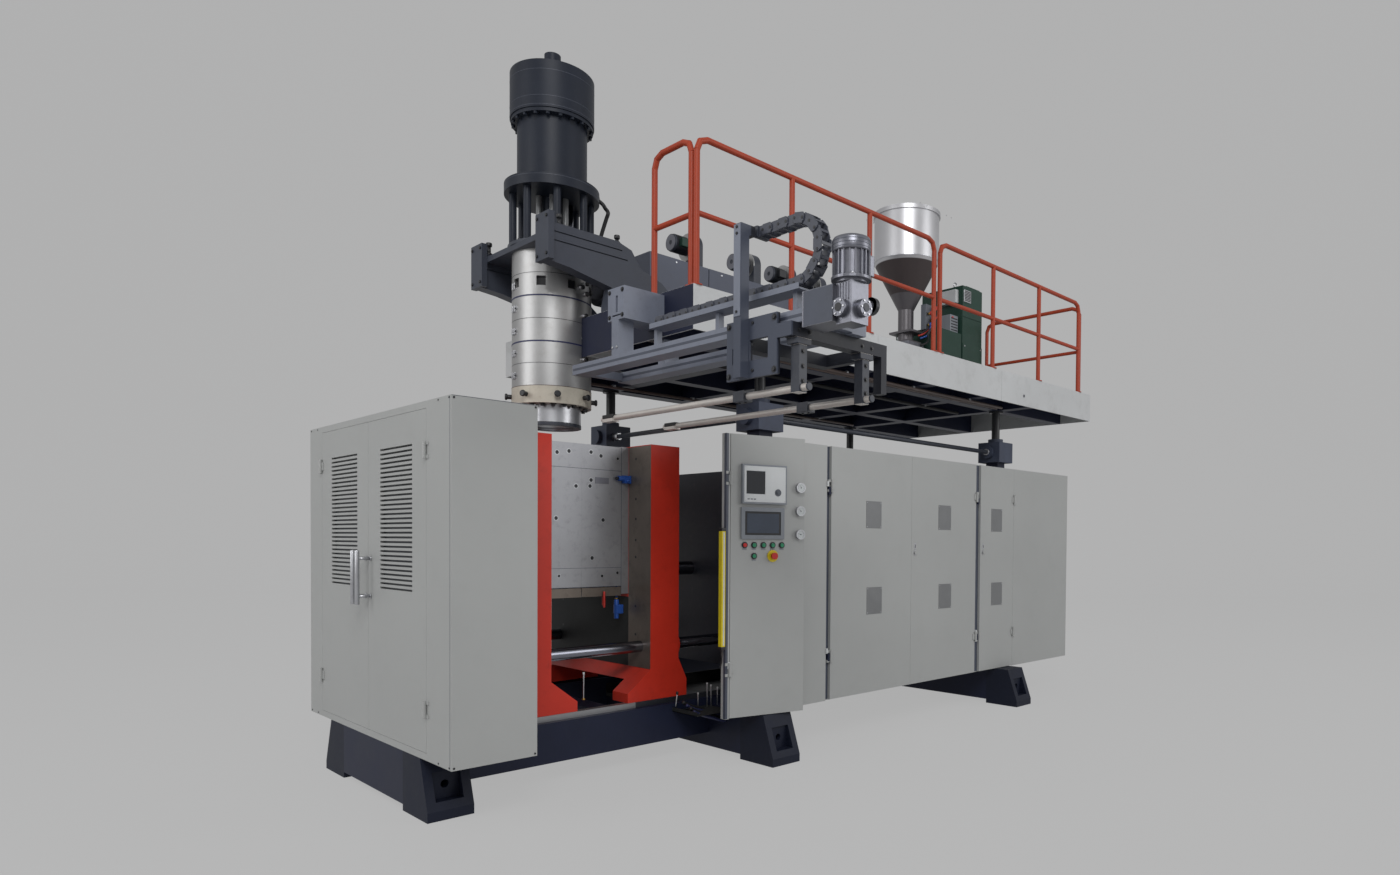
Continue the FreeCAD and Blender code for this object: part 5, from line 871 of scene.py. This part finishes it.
p = Piece("cylinder_seams", "platform", "head_blue", "slate_dark")
for z, r in ((5012, 316.7), (5206, 316.7), (4414, 357.6), (4946, 316.7)):
    p.annulus((CX, CY, z), UP, r - 3, r, 2.4, 72)
p.use("black")
for i in range(4):
    p.bolt((*around(160, 45 + 90 * i), 5279.5), UP, 20, 16)
p.stud((CX, CY, 5468), UP, 9, 46, seg=28, cap=3)
p.done()

# ---- platform
p = Piece("blower_faces", "platform", "bar_chrome", "band")
centre = (BLOWER_Y, BLOWER_Z)
for x in (2600, 3290, 3760, 4190):
    p.use("band").annulus((x + 89, *centre), RIGHT, 55, 108, 4)
    p.annulus((x - 1.5, *centre), RIGHT, 74, 117, 8)
    for k in range(8):
        spot = around(92, 45 * k, centre)
        p.use("steel").rod((x + 92, *spot), (x + 97, *spot), 6, seg=8)
    for k in range(10):
        p.use("black").annulus((x - 150 + 13 * k, *centre), RIGHT, 70, 77, 5, 28)
    p.use("cast").annulus((x - 172, *centre), RIGHT, 20, 66, 6, 28)
    p.use("green" if x == 2600 else "black")
    p.box(x - 130, x - 40, 1120, 1165, BLOWER_Z - 40, BLOWER_Z + 30, 5)
p.done()

p = Piece("cover_details", "platform", "cover_grey", "cover")
for x in (2180, 2400, 2620, 2900, 3200, 3500, 3800, 4040, 4250):
    for z in (4060, 3660):
        p.use("steel").screw((x, 1111, z), FRONT, 8, 6)
p.done()

p = Piece("throat_fittings", "platform", "chain_black", "black")
for y0, z0, y1, z1, key, r in ((1180, 4075, 1075, 4454, "hose_red", 9),
                               (1150, 4040, 1060, 4265, "hose_blue", 10),
                               (1150, 3960, 1055, 4169, "rubber", 12),
                               (1165, 4100, 1070, 4330, "rubber", 9)):
    x = 5820 + (z1 - 4169) * 0.6
    p.use(key).hose([(HOPPER_X, y0, z0), (5960, y0 - 60, z0 + 40), (x + 110, y1, (z0 + z1) / 2 + 30),
                     (x + 200, y1 + 10, z1), (6130, 1120, z1 - 40)], r, side=8)
for x, z in ((5990, 4330), (6040, 4265), (6070, 4400), (5985, 4200)):
    p.use("brass").stud((x, 1105, z), FRONT, 37, 17, seg=6)
    p.use("hose_red" if z > 4300 else "hose_blue").stud((x, 1070, z), FRONT, 24, 24, seg=20, cap=5)
p.use("grey").box(5950, 6098, 1108, 1180, 4150, 4440, 5)
for x in (5640, 5760, 5880, 6000, 6140, 6240):
    for s in (-1, 1):
        y = CY + s * 386
        p.use("steel").stud((x, y, 5466), (0, s, 0), 5, 6, seg=8)
p.use("steel").annulus((HOPPER_X, CY, 4926), UP, 374, 379, 10, 64)
p.done()

p = Piece("drive_details", "platform", "green_paint", "green")
p.use("white").box(6560, 6621, 1120, 1330, 4585, 4745, 6)
p.use("steel").box(6640, 6790, 1052, 1062, 4600, 4745, 3)
for k in range(7):
    p.use("black").box(6652, 6778, 1049, 1053, 4616 + 18 * k, 4624 + 18 * k)
p.use("bezel").box(6440, 6600, 1110, 1300, 4210, 4420, 6)
for k in range(5):
    p.use("black").box(6456, 6584, 1107, 1111, 4236 + 34 * k, 4248 + 34 * k)
p.use("red").box(6470, 6500, 1105, 1111, 4385, 4400, 2)
p.use("green").box(6621, 7039, 1052, 1062, 3470, 4100, 4)
for z in (3990, 4420):
    p.box(6630, 7030, 1054, 1062, z, z + 10, 2)
for x in (6660, 7000):
    for z in (3500, 4070):
        p.use("steel").screw((x, 1052, z), FRONT, 9, 6)
p.use("green").box(6700, 6990, 1062, 1200, 4789, 4800, 3)
for x in (6680, 6960):
    p.use("steel").ring((x, 1210, 4830), BACK, 30, 7)
    p.stud((x, 1210, 4786), UP, 22, 14, cap=2)
p.use("green").box(6095, 6101, 1100, 1620, 3440, 3560, 2)
for y in (1090, 1630):
    for z in (3450, 3800, 4150):
        p.use("steel").bolt((6100.5, y, z), LEFT, 11, 9)
p.done()

p = Piece("platform_pipes", "platform", "dark_steel", "brown")
for y, z, r, key in ((-120, 3082, 14, "brown"), (-60, 3080, 12, "brown"), (420, 3078, 16, "rubber"),
                     (1900, 3080, 14, "brown")):
    p.use(key).rod((2040, y, z), (5600, y, z), r, seg=12)
    p.use("steel")
    for x in (2300, 3200, 4100, 5000):
        p.box(x - 14, x + 14, y - r - 6, y + r + 6, z + 2, 3101, 2)
p.done()

p = Piece("deck_edge", "platform", "rail_paint", "slate")
p.use("navy").box(1474.2, 1476, -296, 1540, 3101, 3399)
p.use("dark").annulus((5734, -299, 3201), FRONT, 8, 15, 3, 24)
p.use("black").stud((5734, -299, 3201), FRONT, 3, 8)
p.use("sheet")
for x in (3390, 5305):
    p.box(x - 1.2, x + 1.2, -300.8, -299, 3102, 3398)
p.done()

# ---- take-out unit
p = Piece("beam_details", "platform", "guide_grey", "steel")
for x0 in (1150, 1530):
    for y in range(-1560, 600, 240):
        p.use("steel").screw((x0 + 60, y, 2934.5), UP, 10, 8)
    p.use("slate_dark").box(x0 - 0.8, x0 + 0.6, -1640, 650, 2892, 2908)
# A dark band on the beam's side: painted shade in the gap between the beams.
p.use("dark").box(1154.6, 1156.2, -1601, -259, 3043.5, 3070)
p.use("slate").box(1154.2, 1160.5, -1601, -259, 3074, 3078)
for y in (40, 190):
    for z in (3190, 3355):
        p.use("black").bolt((1150.5, y, z), LEFT, 11, 9)
p.use("slate_dark").box(1156, 1270, 21, 24, 3250, 3262)
for y in (100, 150):
    p.use("steel").screw((1150.5, y, 2985), LEFT, 9, 7)
p.done()

p = Piece("gearmotor_details", "platform", "drive_metal", "cast")
for k in range(20):
    p.box(MOTOR_X + 84, MOTOR_X + 99, MOTOR_Y - 3, MOTOR_Y + 3, 3052, 3176,
          turn=turn_z(18 * k), about=(MOTOR_X, MOTOR_Y, 3114))
p.lathe((MOTOR_X, MOTOR_Y, 3180), UP,
        ((60, -2), (99, -2), (101, 4), (101, 56), (94, 68), (70, 78), (40, 83), (0.5, 84)))
for k in range(3):
    p.use("slate_dark").annulus((MOTOR_X, MOTOR_Y, 3190 + 18 * k), UP, 99, 101.6, 3, 48)
p.use("cast").annulus((MOTOR_X, MOTOR_Y, 3034), UP, 80, 104, 14)
for k in range(4):
    p.use("steel").bolt((*around(94, 45 + 90 * k, (MOTOR_X, MOTOR_Y)), 3048), UP, 8, 8)
p.use("cast").box(1312, 1350, MOTOR_Y - 52, MOTOR_Y + 52, 3074, 3180, 4)
for k in range(5):
    p.box(1158, 1162.5, MOTOR_Y - 42 + 19 * k, MOTOR_Y - 36 + 19 * k, 2925, 3015, 1)
p.use("steel")
for a in range(0, 360, 60):
    p.screw((1134, *around(36, a, (MOTOR_Y + 6, GEAR_Z))), LEFT, 6, 5)
p.use("black").stud((1134, MOTOR_Y + 6, GEAR_Z), LEFT, 3, 22, seg=24)
for a in range(0, 360, 60):
    x, z = around(36, a, (1239, GEAR_Z))
    p.use("steel").screw((x, -2000, z), FRONT, 6, 5)
p.use("dark").stud((1239, -1999.5, GEAR_Z), FRONT, 3.5, 22, seg=24)
p.use("slate_dark").box(1128.6, 1130.4, -1864, -1660, 2826, 3008)
p.box(1131, 1289, -1866, -1650, 3009.6, 3011.4)
p.use("black").annulus((1378, MOTOR_Y, 2940), RIGHT, 26, 46, 26, 32)
p.done()

p = Piece("carriage_details", "takeout_carriage", "carriage_dark", "black")
for y in (-1470, -1100):
    for z in (2625, 2905):
        p.bolt((CARRIAGE_FACE, y, z), LEFT, 13, 10)
for y, z in ((-1300, 2640), (-1300, 2780), (-1300, 2900), (-1230, 2690), (-1160, 2640)):
    p.screw((CARRIAGE_FACE, y, z), LEFT, 9, 8)
p.use("slate").box(1036, 1039.8, -1262, -1208, 2935, 3440, 1)
p.use("black")
for z in (3390, 3425, 2960):
    p.screw((1036.5, -1235, z), LEFT, 8, 7)
p.use("red").box(1126, 1150, -1120, -1090, 2800, 2830, 3)
for x in (LEFT_ARM_X, RIGHT_ARM_X):
    for dx in (-42, 42):
        p.use("black").bolt((x + dx, -1600.5, 2826), FRONT, 9, 8)
p.use("steel").rod((1120, -1560, 2835), (1880, -1560, 2835), 9, seg=12)
p.done()

for name, body, x in (("left_arm_details", "left_arm", LEFT_ARM_X),
                      ("right_arm_details", "right_arm", RIGHT_ARM_X)):
    p = Piece(name, body, "carriage_dark", "dark")
    p.box(x - 31, x + 31, -1591, -1529, 2501, 2755, 2)
    p.box(x - 56.5, x + 56.5, -1599.4, -1521, 2757, 2788.5, 2)
    p.box(x - 35.5, x + 35.5, -1151.5, -1058.5, 2494.5, 2557.5, 3)
    p.use("black")
    for z in (2560, 2640, 2720):
        p.bolt((x, -1591.5, z), FRONT, 10, 8)
    for y in (-1130, -1080):
        p.screw((x, y, 2494.5), DOWN, 8, 7)
    p.use("dark").stud((x, -1643, 2526), BACK, 11, 22, seg=24, cap=3)
    p.use("rubber").box(x - 28, x + 28, 188, 312, 2523, 2551, 5)
    p.done()


# ---- drag chain
# A lower run from the fixed end, a half turn and an upper run to the carriage's end.
TURN_Y, LOW_Z, BEND = -1548, 3090, 170
FIXED_Y, FREE_Y = -305, -1235
LOW_LINKS, BEND_LINKS, HIGH_LINKS = 20, 9, 5
NARROW, BROAD = 26, 34.3  # half of the space inside every other link


def chain_link(piece, y, z, angle, inner):
    """Two side plates with pins, and two bars across."""
    c, s = math.cos(angle), math.sin(angle)

    def place(dy, dz):
        return y + dy * c - dz * s, z + dy * s + dz * c

    outline = [(-41, -12), (-29, -29), (29, -29), (41, -12), (41, 12), (29, 29), (-29, 29),
               (-41, 12)]
    for side in (-1, 1):
        a = CHAIN_X + side * inner
        b = a + side * 8
        piece.use("chain").prism([place(*q) for q in outline], min(a, b), max(a, b), 1.5)
        for dy in (-30, 30):
            q = place(dy, 0)
            piece.use("black").rod((b - side, *q), (b + side * 2.5, *q), 8, seg=14)
    for dz in (-27.5, 27.5):
        quad = [place(-8, dz - 2.5), place(8, dz - 2.5), place(8, dz + 2.5), place(-8, dz + 2.5)]
        piece.use("chain").prism(quad, CHAIN_X - inner - 4, CHAIN_X + inner + 4)


def chain_run(name, frames):
    """Links in one piece, on no body, that takes the place of the drag chain."""
    piece = Piece(name, "platform", "chain_black", "chain")
    for i, y, z, angle in frames:
        chain_link(piece, y, z, angle, NARROW if i % 2 else BROAD)
    obj = piece.done(ride=False)
    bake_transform(obj)
    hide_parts("drag_chain")


low_run, bend_run, high_run = [], [], []
for i in range(LOW_LINKS):
    low_run.append((i, FIXED_Y + (i + 0.5) * (TURN_Y - FIXED_Y) / LOW_LINKS, LOW_Z, 0))
for i in range(BEND_LINKS):
    a = math.pi * (i + 0.5) / BEND_LINKS
    bend_run.append((LOW_LINKS + i, TURN_Y - BEND * math.sin(a), LOW_Z + BEND * (1 - math.cos(a)),
                     -a))
for i in range(HIGH_LINKS):
    high_run.append((LOW_LINKS + BEND_LINKS + i, TURN_Y + (i + 0.5) * (FREE_Y - TURN_Y) / HIGH_LINKS,
                     LOW_Z + 2 * BEND, math.pi))
chain_run("chain_lower_run", low_run)
chain_run("chain_bend", bend_run)
chain_run("chain_upper_run", high_run)

p = Piece("chain_ends", "takeout_carriage", "carriage_dark", "dark")
p.box(1162, 1258, -1262, -1232, 3398, 3462, 4)
p.done()

# ---- floor, light, camera
STAGE_GREY = 0.478
SKY_GREY = 0.47


def seen_rays(tree):
    """One for rays of the camera, of reflections and through glass, nought for light."""
    path = node(tree, "LightPath")
    out = path.outputs["Is Camera Ray"]
    for kind in ("Is Glossy Ray", "Is Transmission Ray"):
        most = node(tree, "Math")
        most.operation = "MAXIMUM"
        tree.links.new(out, most.inputs[0])
        tree.links.new(path.outputs[kind], most.inputs[1])
        out = most.outputs[0]
    return out


def stage_material(name, grey, rough, shown):
    """A floor with faint shadows: rays that see it get one even grey, by the share shown."""
    material, tree, shader = new_material(name)
    shader.inputs["Roughness"].default_value = rough
    shader.inputs["Specular IOR Level"].default_value = 0.1
    drift = noise(tree, coords(tree), Scale=0.6, Detail=3.0)
    tree.links.new(ramp(tree, drift, (grey * 0.985,) * 3, (grey * 1.015,) * 3),
                   shader.inputs["Base Color"])
    share = node(tree, "Math")
    share.operation = "MULTIPLY"
    share.inputs[1].default_value = shown
    tree.links.new(seen_rays(tree), share.inputs[0])
    pale = node(tree, "Emission", Color=(*(STAGE_GREY,) * 3, 1), Strength=1.0)
    mixed_shader(tree, share.outputs[0], shader.outputs["BSDF"], pale.outputs["Emission"],
                 "Material Output")
    return material


def backdrop():
    """A pale floor that turns up into a wall behind the machine, across the camera's view."""
    bm = bmesh.new()
    near, far, rise, wide, top = -60, 26, 7, 60, 40
    turn = math.radians(45)
    steps = 12
    profile = [(near, 0), (far - rise, 0)]
    for i in range(1, steps + 1):
        a = math.pi / 2 * i / steps
        profile.append((far - rise + rise * math.sin(a), rise - rise * math.cos(a)))
    profile.append((far, top))
    rows = []
    for u, z in profile:
        row = []
        for w in (-wide, wide):
            x = u * math.sin(turn) + w * math.cos(turn)
            y = u * math.cos(turn) - w * math.sin(turn)
            row.append(bm.verts.new((x, y, z)))
        rows.append(row)
    for a, b in zip(rows, rows[1:]):
        bm.faces.new((a[0], a[1], b[1], b[0])).smooth = True
    mesh = bpy.data.meshes.new("backdrop")
    bm.to_mesh(mesh)
    bm.free()
    mesh.materials.append(stage_material("stage_pale", 0.52, 0.9, shown=0.86))
    obj = put("backdrop", mesh)


def sky():
    """Cool light from all round, seen as plain grey."""
    world = bpy.data.worlds.new("studio")
    bpy.context.scene.world = world
    world.use_nodes = True
    tree = world.node_tree
    light = tree.nodes["Background"]
    light.inputs["Color"].default_value = (0.86, 0.88, 0.92, 1)
    light.inputs["Strength"].default_value = 0.42
    seen = node(tree, "Background", Color=(*(SKY_GREY,) * 3, 1), Strength=1.0)
    mixed_shader(tree, seen_rays(tree), light.outputs["Background"], seen.outputs["Background"],
                 "World Output")


def lamp(name, place, target, energy, size):
    """A round area lamp that looks at a target, all in metres and watts."""
    data = bpy.data.lights.new(name, "AREA")
    data.energy = energy
    data.shape = "DISK"
    data.size = size
    obj = put(name, data)
    obj.location = place
    obj.rotation_euler = (Vector(target) - Vector(place)).to_track_quat("-Z", "Y").to_euler()


backdrop()
sky()
lamp("key", (-9, -10, 11), (-0.5, 0, 2.2), 950, 7)
lamp("fill", (7, -12, 6), (0.5, 0, 2), 420, 8)
lamp("side", (-13, 3, 6), (-2, 0, 2), 340, 7)

# The photograph's camera: pixels, its place in millimetres, where it looks and where its
# right side points.
PHOTO_WIDTH, PHOTO_HEIGHT = 1400, 875
FOCAL_PIXELS = 861.516
CENTRE_PIXEL = (821.489, 558.225)
CAMERA_PLACE = (-2113.77, -4851.59, 1699.51)
VIEW_AHEAD = (0.72869829, 0.68455345, -0.01963099)
VIEW_RIGHT = (0.68477971, -0.728704, 0.00819968)
SENSOR = 36

cam_data = bpy.data.cameras.new("photo_view")
cam_data.sensor_fit = "HORIZONTAL"
cam_data.sensor_width = SENSOR
cam_data.lens = FOCAL_PIXELS / PHOTO_WIDTH * SENSOR
cam_data.shift_x = (PHOTO_WIDTH / 2 - CENTRE_PIXEL[0]) / PHOTO_WIDTH
cam_data.shift_y = (CENTRE_PIXEL[1] - PHOTO_HEIGHT / 2) / PHOTO_WIDTH
cam_data.clip_end = 200
cam = put("photo_view", cam_data)
ahead, right = Vector(VIEW_AHEAD).normalized(), Vector(VIEW_RIGHT).normalized()
right = (right - ahead * right.dot(ahead)).normalized()
turn = Matrix((right, right.cross(ahead), -ahead)).transposed().to_4x4()
cam.matrix_world = Matrix.Translation(V(*CAMERA_PLACE)) @ turn
bpy.context.scene.camera = cam
bpy.context.scene.view_settings.view_transform = "Standard"
